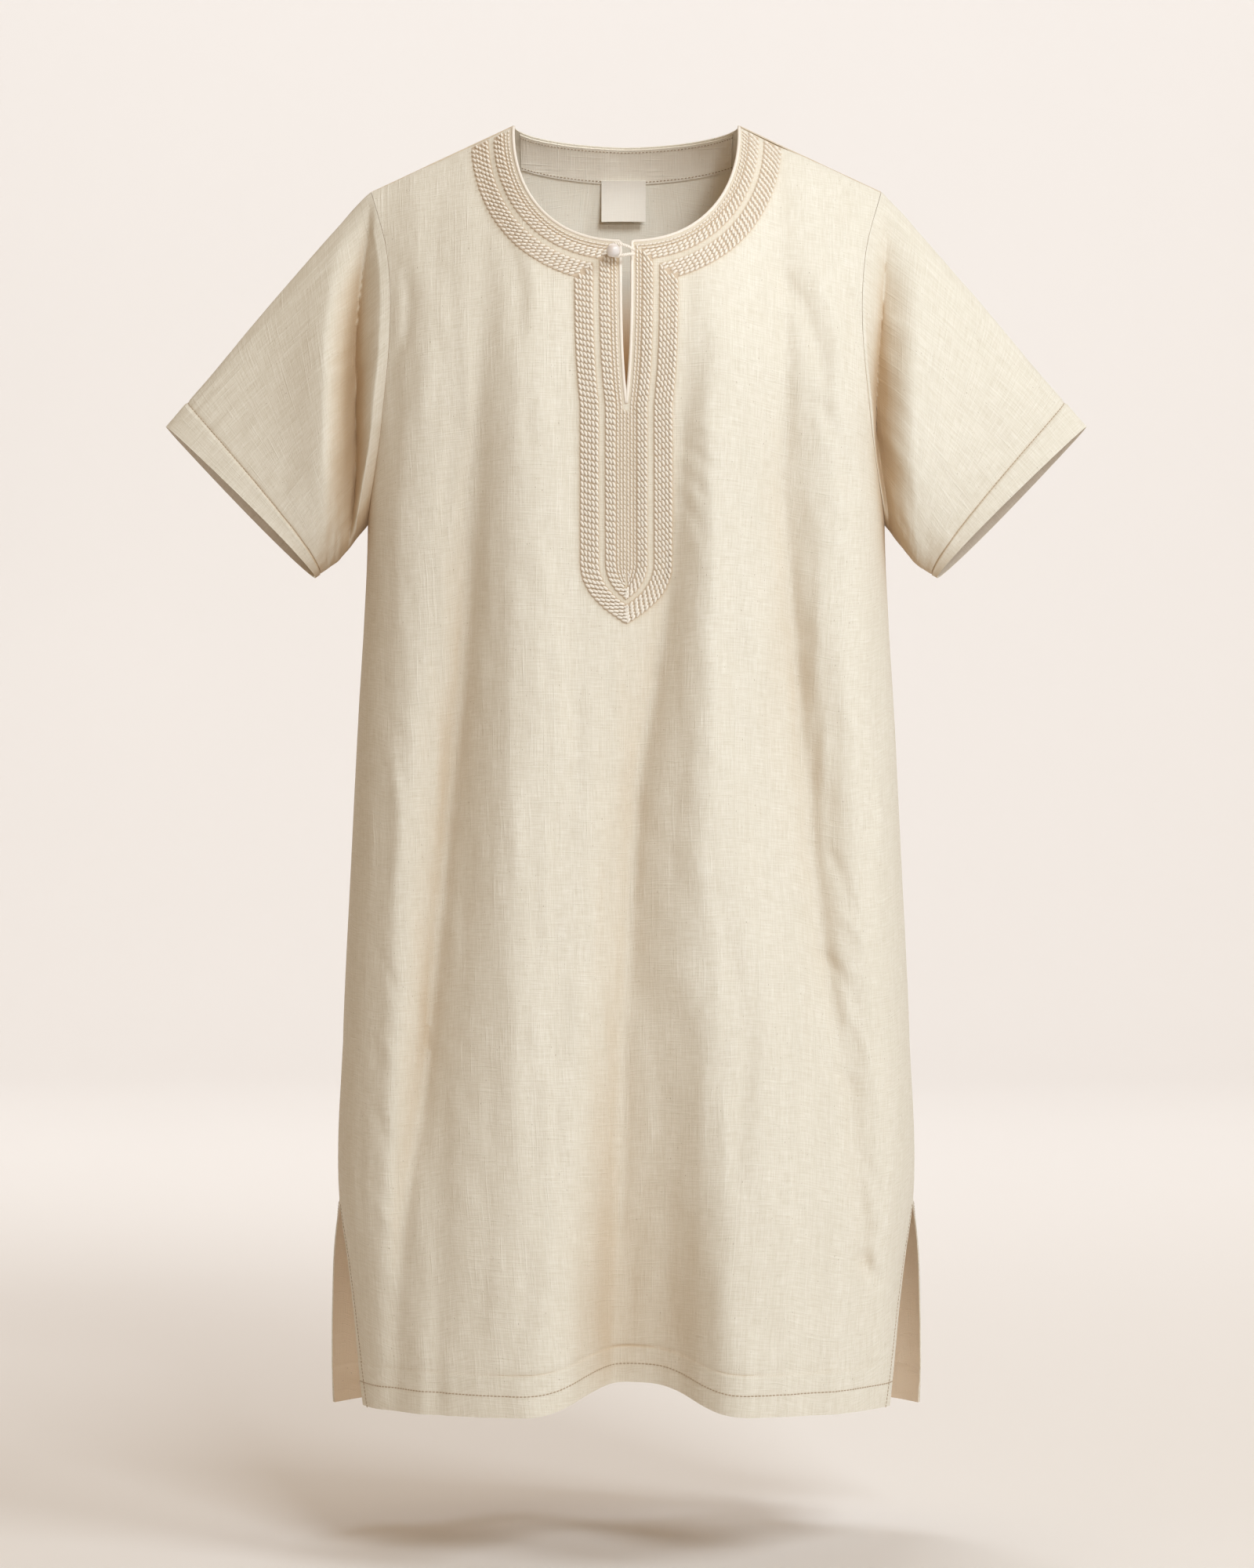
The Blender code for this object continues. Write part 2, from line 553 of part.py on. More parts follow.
def sleeve_grid(side, ring, turn, rows):
    """Points [row, column] from the armhole to the cuff."""
    cuff = cuff_ring(side, turn)
    reach = np.linalg.norm(cuff - ring, axis=1)[:, None]
    share = np.abs(1.0 - np.abs(turn / pi - 1.0))            # 0 at the top, 1 at the underarm
    places = (0.0, 0.5, 1.0)
    start = np.column_stack([
        through(places, [s[0] for s in SLEEVE_STARTS], share) * side,
        np.zeros(len(turn)),
        through(places, [s[1] for s in SLEEVE_STARTS], share)])
    start = start * through(places, SLEEVE_PULLS, share)[:, None] * reach
    top_end = np.array((CUFF_TOP[0] - TIP_HALF, CUFF_TOP[1] - TIP_Z))
    top_end = top_end / np.linalg.norm(top_end)
    late = smooth_step(2 * share - 1.0)[:, None]
    end = top_end * (1.0 - late) + np.array(UNDERARM_END) * late
    end = np.column_stack((end[:, 0] * side, np.zeros(len(turn)), end[:, 1])) * reach * SLEEVE_END_PULL
    length = through(places, SLEEVE_LENGTHS, share)
    outwards = -np.sign(np.sin(turn)) * np.sqrt(np.abs(np.sin(turn)))
    fade = smooth_step(share / VALLEY_FADES[0]) * smooth_step((1.0 - share) / VALLEY_FADES[1])
    grid = []
    for w in rows:
        points = ((2 * w**3 - 3 * w**2 + 1) * ring + (w**3 - 2 * w**2 + w) * start
                  + (3 * w**2 - 2 * w**3) * cuff + (w**3 - w**2) * end)
        from_seam = w * length
        valley = np.exp(-((from_seam - SLEEVE_VALLEY_AT) / SLEEVE_VALLEY_WIDTH) ** 2)
        ridge = np.exp(-((from_seam - SLEEVE_RIDGE_AT) / SLEEVE_RIDGE_WIDTH) ** 2)
        sink = SLEEVE_RIDGE_HEIGHT * ridge - SLEEVE_VALLEY_DEPTH * valley
        sink = sink * smooth_step(from_seam / VALLEY_SEAM_FADE) * smooth_step((1.0 - w) / VALLEY_CUFF_FADE)
        points[:, 1] += outwards * fade * sink
        grid.append(points)
    return np.array(grid)


def sleeve_row_places():
    """Places down the sleeve: close together by the armhole, and at the hem layer's end."""
    hem_at = 1.0 - SLEEVE_HEM_DEPTH / SLEEVE_MEAN_LENGTH
    step = HEM_STEP / SLEEVE_MEAN_LENGTH
    body = np.linspace(0.0, 1.0, SLEEVE_ROWS - 1) ** SLEEVE_GRADING * (hem_at - step)
    return np.concatenate((body, (hem_at + step, 1.0)))


def add_sleeve(side, name, front_edge, back_edge):
    ring, normals, away, turn = armhole_ring(front_edge, back_edge)
    tangent = np.roll(ring, -1, axis=0) - np.roll(ring, 1, axis=0)
    aside = np.cross(tangent, normals)
    aside = aside / np.linalg.norm(aside, axis=1)[:, None]
    aside = aside * np.sign(np.sum(aside * away, axis=1))[:, None]
    share = np.abs(1.0 - np.abs(turn / pi - 1.0))
    low = smooth_step((share - UNDERARM_SHARE) / (1.0 - UNDERARM_SHARE))[:, None]
    outside = np.array(UNDERARM_SHIFT) * (side, 1, 1) / np.linalg.norm(UNDERARM_SHIFT)
    away_low = aside * (1.0 - low) + outside * low
    gap = SEAM_GAP + (UNDERARM_GAP - SEAM_GAP) * low
    ring = ring + away_low / np.linalg.norm(away_low, axis=1)[:, None] * gap
    grid = sleeve_grid(side, ring, turn, sleeve_row_places())
    count = grid.shape[1]
    index = np.arange(grid.shape[0] * count).reshape(grid.shape[:2])
    closed = np.column_stack((index, index[:, :1]))
    faces = grid_faces(closed)
    if side < 0:
        faces = [face[::-1] for face in faces]
    points = grid.reshape(-1, 3)
    sheet_n = sheet_normals(points, faces)
    down = np.array(UNDERARM_NORMAL) * (side, 1, 1)
    first = normals * (1.0 - low) + down * low
    sheet_n[:count] = first / np.linalg.norm(first, axis=1)[:, None]
    places = np.repeat(sleeve_row_places(), count)
    thickness = CLOTH + HEM_LAYER * (places > 1.0 - SLEEVE_HEM_DEPTH / SLEEVE_MEAN_LENGTH)
    return add_object(name, *wall(Sheet(points, faces, sheet_n), thickness), "linen")


# Embroidered bands, laid on the front's own faces

def band_line(distance, steps):
    """x and z of the line that runs at a distance outside the neck and slit, shoulder to tip."""
    neck = neck_curve(FRONT_NECK_Z, NECK_ROUNDNESS)
    drop = NECK_POINT_Z - FRONT_NECK_Z
    across = (neck[:, 0] / NECK_HALF) ** (NECK_ROUNDNESS - 1) / NECK_HALF
    down = -((NECK_POINT_Z - neck[:, 1]) / drop) ** (NECK_ROUNDNESS - 1) / drop
    size = np.hypot(across, down)
    round_neck = neck + distance * NECK_CLOSENESS * np.column_stack((across / size, down / size))
    below = round_neck[:, 1] < shoulder_z(round_neck[:, 0]) - SHOULDER_MARGIN
    corner_x = SLIT_HALF + distance
    corner_z = np.interp(-corner_x, -round_neck[:, 0], round_neck[:, 1])
    keep = below & (round_neck[:, 0] > corner_x)
    upper = np.vstack((round_neck[keep], (corner_x, corner_z)))
    straight = vertical(lambda z: slit_half(z) + distance, corner_z, ARCH_START_Z)
    tip_z = ARCH_TIP_Z - distance
    u = np.linspace(0.0, 1.0, FINE)[:, None]
    ends = np.array((
        (distance, ARCH_START_Z),
        (distance, (ARCH_START_Z + tip_z) / 2),
        (distance / 2, tip_z + ARCH_SLOPE * distance / 2),
        (0.0, tip_z)))
    arch = ((1 - u)**3 * ends[0] + 3 * (1 - u)**2 * u * ends[1]
            + 3 * (1 - u) * u**2 * ends[2] + u**3 * ends[3])
    parts = [divided(part, count) for part, count in zip((upper, straight, arch), steps)]
    return np.vstack((parts[0], parts[1][1:], parts[2][1:]))


def surface_normal(surface, outwards, x, z, step=0.002):
    slope_x = (surface(x + step, z) - surface(x - step, z)) / (2 * step)
    slope_z = (surface(x, z + step) - surface(x, z - step)) / (2 * step)
    normal = np.stack((-slope_x, np.ones_like(slope_x), -slope_z), axis=-1) * outwards
    return normal / np.linalg.norm(normal, axis=-1)[..., None]


def faces_of(made):
    mesh = made.data
    return BVHTree.FromPolygons([v.co for v in mesh.vertices], [p.vertices[:] for p in mesh.polygons])


def first_hit(tree, x, z, from_y):
    """Points where lines along Y, coming from from_y, first meet the faces."""
    found = []
    for px, pz in zip(np.ravel(x), np.ravel(z)):
        place, _, _, _ = tree.ray_cast(Vector((px, from_y, pz)), Vector((0.0, -np.sign(from_y), 0.0)))
        found.append(tuple(place))
    return np.array(found).reshape(np.shape(x) + (3,))


def add_band(name, tree, band, columns, steps):
    lines = []
    for distance in np.linspace(band[0], band[1], columns + 1):
        right = band_line(distance, steps)
        left = right[:-1] * (-1.0, 1.0)
        lines.append(np.vstack((left, right[::-1])))
    lines = np.array(lines)
    x, z = lines[..., 0], lines[..., 1]
    normals = surface_normal(front_y, -1.0, x, z)
    points = first_hit(tree, x, z, -1.0) + normals * (LAID_GAP + BAND_RELIEF)
    index = np.arange(x.size).reshape(x.shape)
    faces = grid_faces(index)
    sheet = Sheet(points.reshape(-1, 3), faces, normals.reshape(-1, 3))
    return add_object(name, *wall(sheet, BAND_RELIEF), "embroidery")


# Facing, label, button and loop

def facing_line(distance):
    """x and z of the line at a distance below the back neck edge, from side to side."""
    half = NECK_HALF - FACING_END_INSET
    x = np.linspace(-half, half, FACING_COLUMNS + 1)
    depth = 1.0 - (np.abs(x) / NECK_HALF) ** BACK_NECK_ROUNDNESS
    edge_z = NECK_POINT_Z - (NECK_POINT_Z - BACK_NECK_Z) * depth ** (1 / BACK_NECK_ROUNDNESS)
    return x, edge_z - FACING_INSET - distance


def add_facing(tree):
    lines = [facing_line(distance) for distance in (0.0, FACING_DEPTH / 2, FACING_DEPTH)]
    x = np.array([line[0] for line in lines])
    z = np.array([line[1] for line in lines])
    inwards = surface_normal(back_y, -1.0, x, z)
    points = first_hit(tree, x, z, -1.0) + inwards * (LAID_GAP + FACING_THICKNESS)
    index = np.arange(x.size).reshape(x.shape)
    sheet = Sheet(points.reshape(-1, 3), grid_faces(index), inwards.reshape(-1, 3))
    return add_object("back_neck_facing", *wall(sheet, FACING_THICKNESS), "facing"), points


def add_label(tree, facing_points):
    """A blank woven label, held at its top by the facing's lower edge."""
    low = facing_points[-1]
    middle = low[np.argmin(np.abs(low[:, 0] - LABEL_X))]
    top_z = middle[2] - SEAM_GAP
    count = LABEL_CELLS
    x = LABEL_X + LABEL_WIDTH * np.linspace(-0.5, 0.5, count + 1)
    rows = []
    for u in np.linspace(0.0, 1.0, count + 1):
        z = np.full(count + 1, top_z - LABEL_HEIGHT * u)
        y = first_hit(tree, x, z, -1.0)[:, 1].min() - LAID_GAP - LABEL_THICKNESS
        rows.append(np.column_stack((x, np.full(count + 1, y - LABEL_STAND_OFF * u**LABEL_CURVE), z)))
    grid = np.array(rows)
    index = np.arange((count + 1) ** 2).reshape(count + 1, count + 1)
    faces = grid_faces(index)
    points = grid.reshape(-1, 3)
    sheet = Sheet(points, faces, sheet_normals(points, faces))
    return add_object("neck_label", *wall(sheet, LABEL_THICKNESS), "label")


def turned(profile, centre, count):
    """A closed solid turned about Y from (radius, y) pairs that start and end on the axis."""
    angles = np.arange(count) * 2 * pi / count
    points = [(centre[0], centre[1] + profile[0][1], centre[2])]
    for radius, y in profile[1:-1]:
        for a in angles:
            points.append((centre[0] + radius * np.cos(a), centre[1] + y, centre[2] + radius * np.sin(a)))
    points.append((centre[0], centre[1] + profile[-1][1], centre[2]))
    rings = len(profile) - 2
    last = len(points) - 1
    faces = []
    for k in range(count):
        after = (k + 1) % count
        faces.append((0, 1 + k, 1 + after))
        for ring in range(rings - 1):
            a, b = 1 + ring * count, 1 + (ring + 1) * count
            faces.append((a + k, b + k, b + after, a + after))
        faces.append((last, 1 + (rings - 1) * count + after, 1 + (rings - 1) * count + k))
    return points, faces


def band_top_y(tree, x, z):
    return first_hit(tree, np.array([x]), np.array([z]), -1.0)[0, 1] - LAID_GAP - BAND_RELIEF


def add_button(tree):
    """A ball button on a short shank; gives the y of the shank's foot."""
    foot = band_top_y(tree, BUTTON_X, BUTTON_Z) - SEAM_GAP
    centre_y = foot - SHANK_LENGTH - BUTTON_RADIUS
    steps = np.linspace(0.0, pi, BALL_RINGS)
    ball = [(BUTTON_RADIUS * np.sin(a), -BUTTON_RADIUS * np.cos(a)) for a in steps]
    ball = [(radius, y) for radius, y in ball if y < 0 or radius > SHANK_RADIUS]
    join_y = np.sqrt(BUTTON_RADIUS**2 - SHANK_RADIUS**2)
    profile = ball + [(SHANK_RADIUS, join_y), (SHANK_RADIUS, foot - centre_y), (0.0, foot - centre_y)]
    points, faces = turned(profile, (BUTTON_X, centre_y, BUTTON_Z), BALL_SIDES)
    add_object("button", points, faces, "button", 0.35)
    return foot


def add_loop(tree, foot):
    """A thread loop from the other edge of the slit round the button's shank."""
    axis_y = foot - SHANK_LENGTH / 2
    turn_radius = SHANK_RADIUS + LOOP_RADIUS + SEAM_GAP
    lift = LAID_GAP + LOOP_RADIUS
    path = []
    steps = np.linspace(0.0, 1.0, LOOP_STEPS)
    for side, places in ((1, steps), (-1, steps[::-1])):
        for u in places:
            x = LOOP_END_X + (BUTTON_X - LOOP_END_X) * u
            spread = max(LOOP_SPREAD * np.sqrt(1 - u) + turn_radius * u, turn_radius)
            end_y = band_top_y(tree, LOOP_END_X, BUTTON_Z + side * spread) - lift
            path.append((x, end_y + (axis_y - end_y) * smooth_step(u * LOOP_RISE), BUTTON_Z + side * spread))
        if side == 1:
            for a in np.linspace(pi / 2, 3 * pi / 2, LOOP_STEPS)[1:-1]:
                path.append((BUTTON_X + turn_radius * np.cos(a), axis_y, BUTTON_Z + turn_radius * np.sin(a)))
    curve = bpy.data.curves.new("button_loop", "CURVE")
    curve.dimensions = "3D"
    curve.bevel_depth = LOOP_RADIUS
    curve.bevel_resolution = 2
    curve.use_fill_caps = True
    spline = curve.splines.new("POLY")
    spline.points.add(len(path) - 1)
    for point, place in zip(spline.points, path):
        point.co = (*[float(v) for v in place], 1.0)
    curve.materials.append(material("embroidery", 0.8))
    made = bpy.data.objects.new("button_loop", curve)
    bpy.context.scene.collection.objects.link(made)
    return made


def build():
    for old in list(bpy.data.objects):
        bpy.data.objects.remove(old, do_unlink=True)
    front, front_edges = add_panel("front", FRONT_ROWS)
    back, back_edges = add_panel("back", BACK_ROWS)
    for side, name in ((-1, "sleeve_left"), (1, "sleeve_right")):
        add_sleeve(side, name, front_edges[side], back_edges[side])
    front_tree = faces_of(front)
    back_tree = faces_of(back)
    add_band("embroidery_outer_band", front_tree, OUTER_BAND, 2, BAND_STEPS)
    add_band("embroidery_inner_band", front_tree, INNER_BAND, 1, BAND_STEPS)
    _, facing_points = add_facing(back_tree)
    add_label(back_tree, facing_points)
    foot = add_button(front_tree)
    add_loop(front_tree, foot)


build()
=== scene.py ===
"""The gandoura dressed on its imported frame: linen shells, stitches, embroidery and a plain studio.

Metres, +Z up, -Y towards the viewer. The panels share the solids' sizes, but their folds are deeper.
"""
from collections import namedtuple
from math import pi, radians

import bmesh
import bpy
import numpy as np
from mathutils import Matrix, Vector


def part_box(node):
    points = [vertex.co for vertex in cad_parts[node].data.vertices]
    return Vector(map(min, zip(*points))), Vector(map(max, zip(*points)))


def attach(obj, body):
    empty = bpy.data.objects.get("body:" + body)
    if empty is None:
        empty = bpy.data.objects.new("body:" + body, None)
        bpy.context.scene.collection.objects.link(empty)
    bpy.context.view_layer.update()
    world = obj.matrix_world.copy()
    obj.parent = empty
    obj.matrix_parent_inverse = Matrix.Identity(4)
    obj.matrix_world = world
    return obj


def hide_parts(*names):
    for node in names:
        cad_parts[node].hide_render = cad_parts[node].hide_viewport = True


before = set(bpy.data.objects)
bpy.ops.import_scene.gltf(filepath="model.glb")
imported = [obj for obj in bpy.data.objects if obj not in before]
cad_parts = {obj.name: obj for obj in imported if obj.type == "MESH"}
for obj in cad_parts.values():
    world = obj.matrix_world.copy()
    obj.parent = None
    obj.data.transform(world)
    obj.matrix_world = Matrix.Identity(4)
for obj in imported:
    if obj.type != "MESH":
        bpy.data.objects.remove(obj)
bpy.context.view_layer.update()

# Cloth and sewing
CLOTH = 0.0010            # thickness of the linen shell
HEM_LAYER = 0.0009        # what the turned-up layer adds inside a hem
SEAM_GAP = 0.0003         # between an armhole and its sleeve
SEAM_LAP = 0.0018         # the front and the back are moved together by this, and cut into each other
HEM_DEPTH = 0.031
SLEEVE_HEM_DEPTH = 0.020
HEM_STEP, HEM_GROOVE = 0.0007, 0.0007
GROOVE_WIDTH = 0.0012
VENT_STITCH = 0.0095      # distance of the vent's stitching from its edge

# Shoulders and neck
NECK_HALF = 0.092
NECK_POINT_Z = 0.027
TIP_HALF = 0.208
TIP_Z = -0.027
FRONT_NECK_Z = -0.079
BACK_NECK_Z = 0.019
NECK_ROUNDNESS = 2.3
BACK_NECK_ROUNDNESS = 1.5
SHOULDER_SLOPE = (NECK_POINT_Z - TIP_Z) / (TIP_HALF - NECK_HALF)
FRONT_ROLL, FRONT_ROLL_POWER = 0.200, 1.5
BACK_ROLL, BACK_ROLL_POWER = 0.110, 2.0

# Front slit
SLIT_HALF = 0.0046
SLIT_END_Z = -0.211
SLIT_TAPER = 3.5

# Body
ROUNDNESS = 2.4
UNDERARM_Z = -0.300
ARMHOLE_SPLIT_Z = -0.130
VENT_TOP_Z = -0.850
SIDE_LEAN = 0.14
LEAN_FROM_X, LEAN_OVER_X = 0.13, 0.07
LEAN_FROM_Z, LEAN_OVER_Z = -0.26, 0.12
LEAN_DEPTH = 0.055
FRONT_HEM_Z, FRONT_CORNER_Z = -1.002, -1.0065
BACK_HEM_Z = -1.0255

Section = namedtuple("Section", "z front_half back_half side_y front_y back_y")
SECTIONS = (
    Section(-1.040, 0.2235, 0.2690, -0.020, -0.163, 0.150),
    Section(-0.960, 0.2240, 0.2500, -0.020, -0.156, 0.143),
    Section(-0.930, 0.2250, 0.2440, -0.020, -0.153, 0.140),
    Section(-0.895, 0.2275, 0.2385, -0.020, -0.150, 0.137),
    Section(-0.850, 0.2325, 0.2325, -0.020, -0.146, 0.133),
    Section(-0.700, 0.2290, 0.2290, -0.018, -0.135, 0.122),
    Section(-0.570, 0.2230, 0.2230, -0.015, -0.127, 0.110),
    Section(-0.450, 0.2172, 0.2172, -0.013, -0.121, 0.103),
    Section(-0.370, 0.2125, 0.2125, -0.012, -0.119, 0.105),
    Section(-0.290, 0.2100, 0.2100, -0.012, -0.118, 0.110),
    Section(-0.240, 0.2100, 0.2110, -0.011, -0.117, 0.111),
    Section(-0.200, 0.2135, 0.2150, -0.010, -0.115, 0.110),
    Section(-0.150, 0.2205, 0.2215, -0.008, -0.111, 0.106),
    Section(-0.100, 0.2255, 0.2260, -0.006, -0.104, 0.100),
    Section(-0.050, 0.2290, 0.2290, -0.004, -0.100, 0.094),
    Section(0.050, 0.2320, 0.2320, -0.004, -0.100, 0.092),
)

Armhole = namedtuple("Armhole", "z front_x back_x")
ARMHOLE = (
    Armhole(UNDERARM_Z, 0.2100, 0.2100),
    Armhole(-0.262, 0.2024, 0.2036),
    Armhole(-0.227, 0.1968, 0.1988),
    Armhole(-0.195, 0.1932, 0.1960),
    Armhole(-0.160, 0.1900, 0.1932),
    Armhole(-0.120, 0.1895, 0.1928),
    Armhole(-0.077, 0.1940, 0.1965),
    Armhole(TIP_Z, TIP_HALF, TIP_HALF),
)

FRONT_VENT_OPEN, BACK_VENT_OPEN = 0.40, 0.50
FRONT_VENT_POWER, BACK_VENT_POWER = 1.0, 0.7

# Broad flutes: ridges are positive and valleys negative, measured outwards along Y
Fold = namedtuple("Fold", "name z_top z_bottom x_top x_middle x_bottom "
                          "width_top width_bottom height_top height_middle height_bottom square")
FRONT_FOLDS = (
    Fold("hem flute", -0.30, -1.10, 0.050, 0.022, 0.007, 0.034, 0.052, -0.001, -0.003, -0.076, 3),
)
BACK_FOLDS = (
    Fold("blade hollow", -0.08, -0.55, 0.000, 0.003, 0.006, 0.040, 0.045, -0.002, -0.007, -0.002, 2),
    Fold("left blade ridge", -0.22, -1.20, -0.078, -0.090, -0.098, 0.034, 0.042, 0.002, 0.008, 0.020, 2),
    Fold("right blade ridge", -0.22, -1.20, 0.070, 0.086, 0.094, 0.034, 0.042, 0.002, 0.009, 0.022, 2),
    Fold("centre flute", -0.50, -1.20, 0.004, -0.004, -0.010, 0.036, 0.044, -0.001, -0.012, -0.034, 2),
    Fold("left flute", -0.40, -1.20, -0.140, -0.156, -0.165, 0.022, 0.030, -0.002, -0.009, -0.018, 2),
    Fold("right flute", -0.36, -1.20, 0.136, 0.150, 0.162, 0.022, 0.030, -0.002, -0.010, -0.020, 2),
)
FADE = 0.12

# Folds as lines that run down the cloth: x and depth (inwards) at each of the levels.
# Between two lines the cloth is round at the shallower one and creased at the deeper one.
FOLD_LEVELS = (-1.00, -0.88, -0.76, -0.63, -0.51, -0.39, -0.26, -0.17, -0.08)
FOLD_POWER = 1.40
FOLD_SOFTNESS = 0.003
FoldLine = namedtuple("FoldLine", "name x depth")
CREST = (0.0,) * len(FOLD_LEVELS)
FRONT_LINES = (
    FoldLine("left crest", (-0.203, -0.197, -0.190, -0.187, -0.186, -0.184, -0.184, -0.181, -0.181), CREST),
    FoldLine("left valley", (-0.184, -0.178, -0.163, -0.150, -0.139, -0.128, -0.121, -0.115, -0.112),
             (0.006, 0.014, 0.025, 0.030, 0.030, 0.025, 0.017, 0.008, 0.002)),
    FoldLine("left centre crest",
             (-0.083, -0.089, -0.091, -0.089, -0.088, -0.085, -0.084, -0.086, -0.086), CREST),
    FoldLine("beside the placket", (-0.050, -0.046, -0.044, -0.042, -0.040, -0.038, -0.039, -0.040, -0.042),
             (0.002, 0.005, 0.007, 0.008, 0.009, 0.009, 0.008, 0.005, 0.001)),
    FoldLine("centre valley", (-0.013, -0.008, -0.004, 0.002, 0.010, 0.030, 0.043, 0.050, 0.050),
             (0.012, 0.021, 0.029, 0.032, 0.030, 0.023, 0.013, 0.005, 0.001)),
    FoldLine("right centre crest", (0.081, 0.078, 0.075, 0.071, 0.067, 0.065, 0.064, 0.065, 0.065), CREST),
    FoldLine("right valley", (0.201, 0.190, 0.178, 0.156, 0.144, 0.133, 0.126, 0.127, 0.124),
             (0.004, 0.009, 0.015, 0.022, 0.027, 0.026, 0.021, 0.014, 0.005)),
    FoldLine("right crest", (0.212, 0.209, 0.204, 0.196, 0.186, 0.175, 0.170, 0.161, 0.149), CREST),
)
BACK_LINES = (
    FoldLine("left crest", (-0.200, -0.196, -0.190, -0.184, -0.180, -0.178, -0.172, -0.166, -0.160), CREST),
    FoldLine("left valley", (-0.150, -0.146, -0.140, -0.134, -0.128, -0.122, -0.118, -0.115, -0.112),
             (0.006, 0.008, 0.010, 0.011, 0.010, 0.008, 0.005, 0.003, 0.000)),
    FoldLine("left blade crest",
             (-0.092, -0.090, -0.086, -0.080, -0.076, -0.072, -0.068, -0.064, -0.060), CREST),
    FoldLine("centre valley", (0.012, 0.008, 0.002, -0.004, -0.006, -0.002, 0.002, 0.004, 0.004),
             (0.008, 0.010, 0.012, 0.012, 0.010, 0.009, 0.007, 0.004, 0.001)),
    FoldLine("right blade crest", (0.100, 0.094, 0.088, 0.084, 0.078, 0.072, 0.066, 0.060, 0.056), CREST),
    FoldLine("right valley", (0.160, 0.154, 0.148, 0.140, 0.132, 0.126, 0.120, 0.114, 0.110),
             (0.007, 0.009, 0.010, 0.012, 0.011, 0.008, 0.006, 0.003, 0.000)),
    FoldLine("right crest", (0.204, 0.199, 0.194, 0.188, 0.182, 0.176, 0.170, 0.164, 0.158), CREST),
)

# Single creases from one point to another; a positive height stands out
Crease = namedtuple("Crease", "x_from z_from x_to z_to width height")
FRONT_CREASES = (
    Crease(-0.094, -0.075, -0.090, -0.170, 0.0090, -0.0014),
    Crease(-0.083, -0.080, -0.076, -0.150, 0.0080, 0.0015),
    Crease(0.060, -0.140, 0.053, -0.205, 0.0080, -0.0014),
    Crease(0.040, -0.240, 0.072, -0.268, 0.0045, -0.0014),
    Crease(0.041, -0.262, 0.066, -0.290, 0.0040, -0.0012),
    Crease(0.043, -0.285, 0.060, -0.318, 0.0045, -0.0014),
    Crease(0.046, -0.225, 0.083, -0.243, 0.0050, 0.0010),
    Crease(0.122, -0.098, 0.158, -0.205, 0.0085, -0.0035),
    Crease(0.146, -0.090, 0.170, -0.190, 0.0070, 0.0018),
    Crease(0.172, -0.105, 0.183, -0.160, 0.0055, -0.0024),
    Crease(0.150, -0.200, 0.176, -0.290, 0.0070, -0.0024),
    Crease(-0.176, -0.100, -0.186, -0.180, 0.0060, -0.0020),
    Crease(-0.160, -0.090, -0.172, -0.230, 0.0100, 0.0016),
    Crease(0.190, -0.470, 0.203, -0.570, 0.0035, 0.0016),
    Crease(0.183, -0.450, 0.196, -0.560, 0.0035, -0.0012),
    Crease(0.160, -0.560, 0.178, -0.610, 0.0050, -0.0016),
    Crease(0.166, -0.610, 0.192, -0.640, 0.0045, 0.0014),
    Crease(0.150, -0.640, 0.186, -0.690, 0.0050, -0.0016),
    Crease(0.175, -0.690, 0.196, -0.740, 0.0045, 0.0015),
    Crease(0.150, -0.730, 0.188, -0.760, 0.0050, -0.0012),
    Crease(0.186, -0.800, 0.203, -0.850, 0.0045, -0.0015),
    Crease(0.180, -0.880, 0.206, -0.915, 0.0060, -0.0024),
    Crease(-0.205, -0.640, -0.182, -0.680, 0.0045, -0.0014),
    Crease(-0.208, -0.700, -0.186, -0.730, 0.0045, 0.0013),
    Crease(-0.208, -0.760, -0.190, -0.800, 0.0050, -0.0016),
    Crease(-0.212, -0.830, -0.186, -0.870, 0.0050, 0.0014),
    Crease(-0.196, -0.470, -0.188, -0.600, 0.0050, 0.0015),
    Crease(0.062, -0.560, 0.068, -0.900, 0.0080, -0.0020),
    Crease(0.040, -0.620, 0.036, -0.880, 0.0120, 0.0022),
    Crease(-0.012, -0.420, -0.020, -0.560, 0.0080, 0.0010),
)
BACK_CREASES = (
    Crease(0.120, -0.120, 0.170, -0.230, 0.0090, -0.0030),
    Crease(-0.120, -0.120, -0.166, -0.240, 0.0090, -0.0032),
    Crease(-0.060, -0.060, -0.030, -0.150, 0.0090, -0.0022),
    Crease(0.056, -0.062, 0.030, -0.140, 0.0090, -0.0020),
    Crease(0.150, -0.300, 0.190, -0.340, 0.0060, -0.0018),
    Crease(-0.150, -0.310, -0.192, -0.350, 0.0060, -0.0018),
    Crease(0.170, -0.560, 0.196, -0.640, 0.0050, 0.0016),
    Crease(-0.176, -0.600, -0.200, -0.680, 0.0050, 0.0015),
    Crease(0.050, -0.500, 0.056, -0.860, 0.0090, -0.0020),
    Crease(-0.040, -0.560, -0.046, -0.900, 0.0090, 0.0018),
)

LIFT_HEIGHT = 0.16
FRONT_LIFT, FRONT_LIFT_X, FRONT_LIFT_WIDTH = 0.018, 0.007, 0.052
BACK_LIFT, BACK_LIFT_X, BACK_LIFT_WIDTH = 0.011, 0.0, 0.150

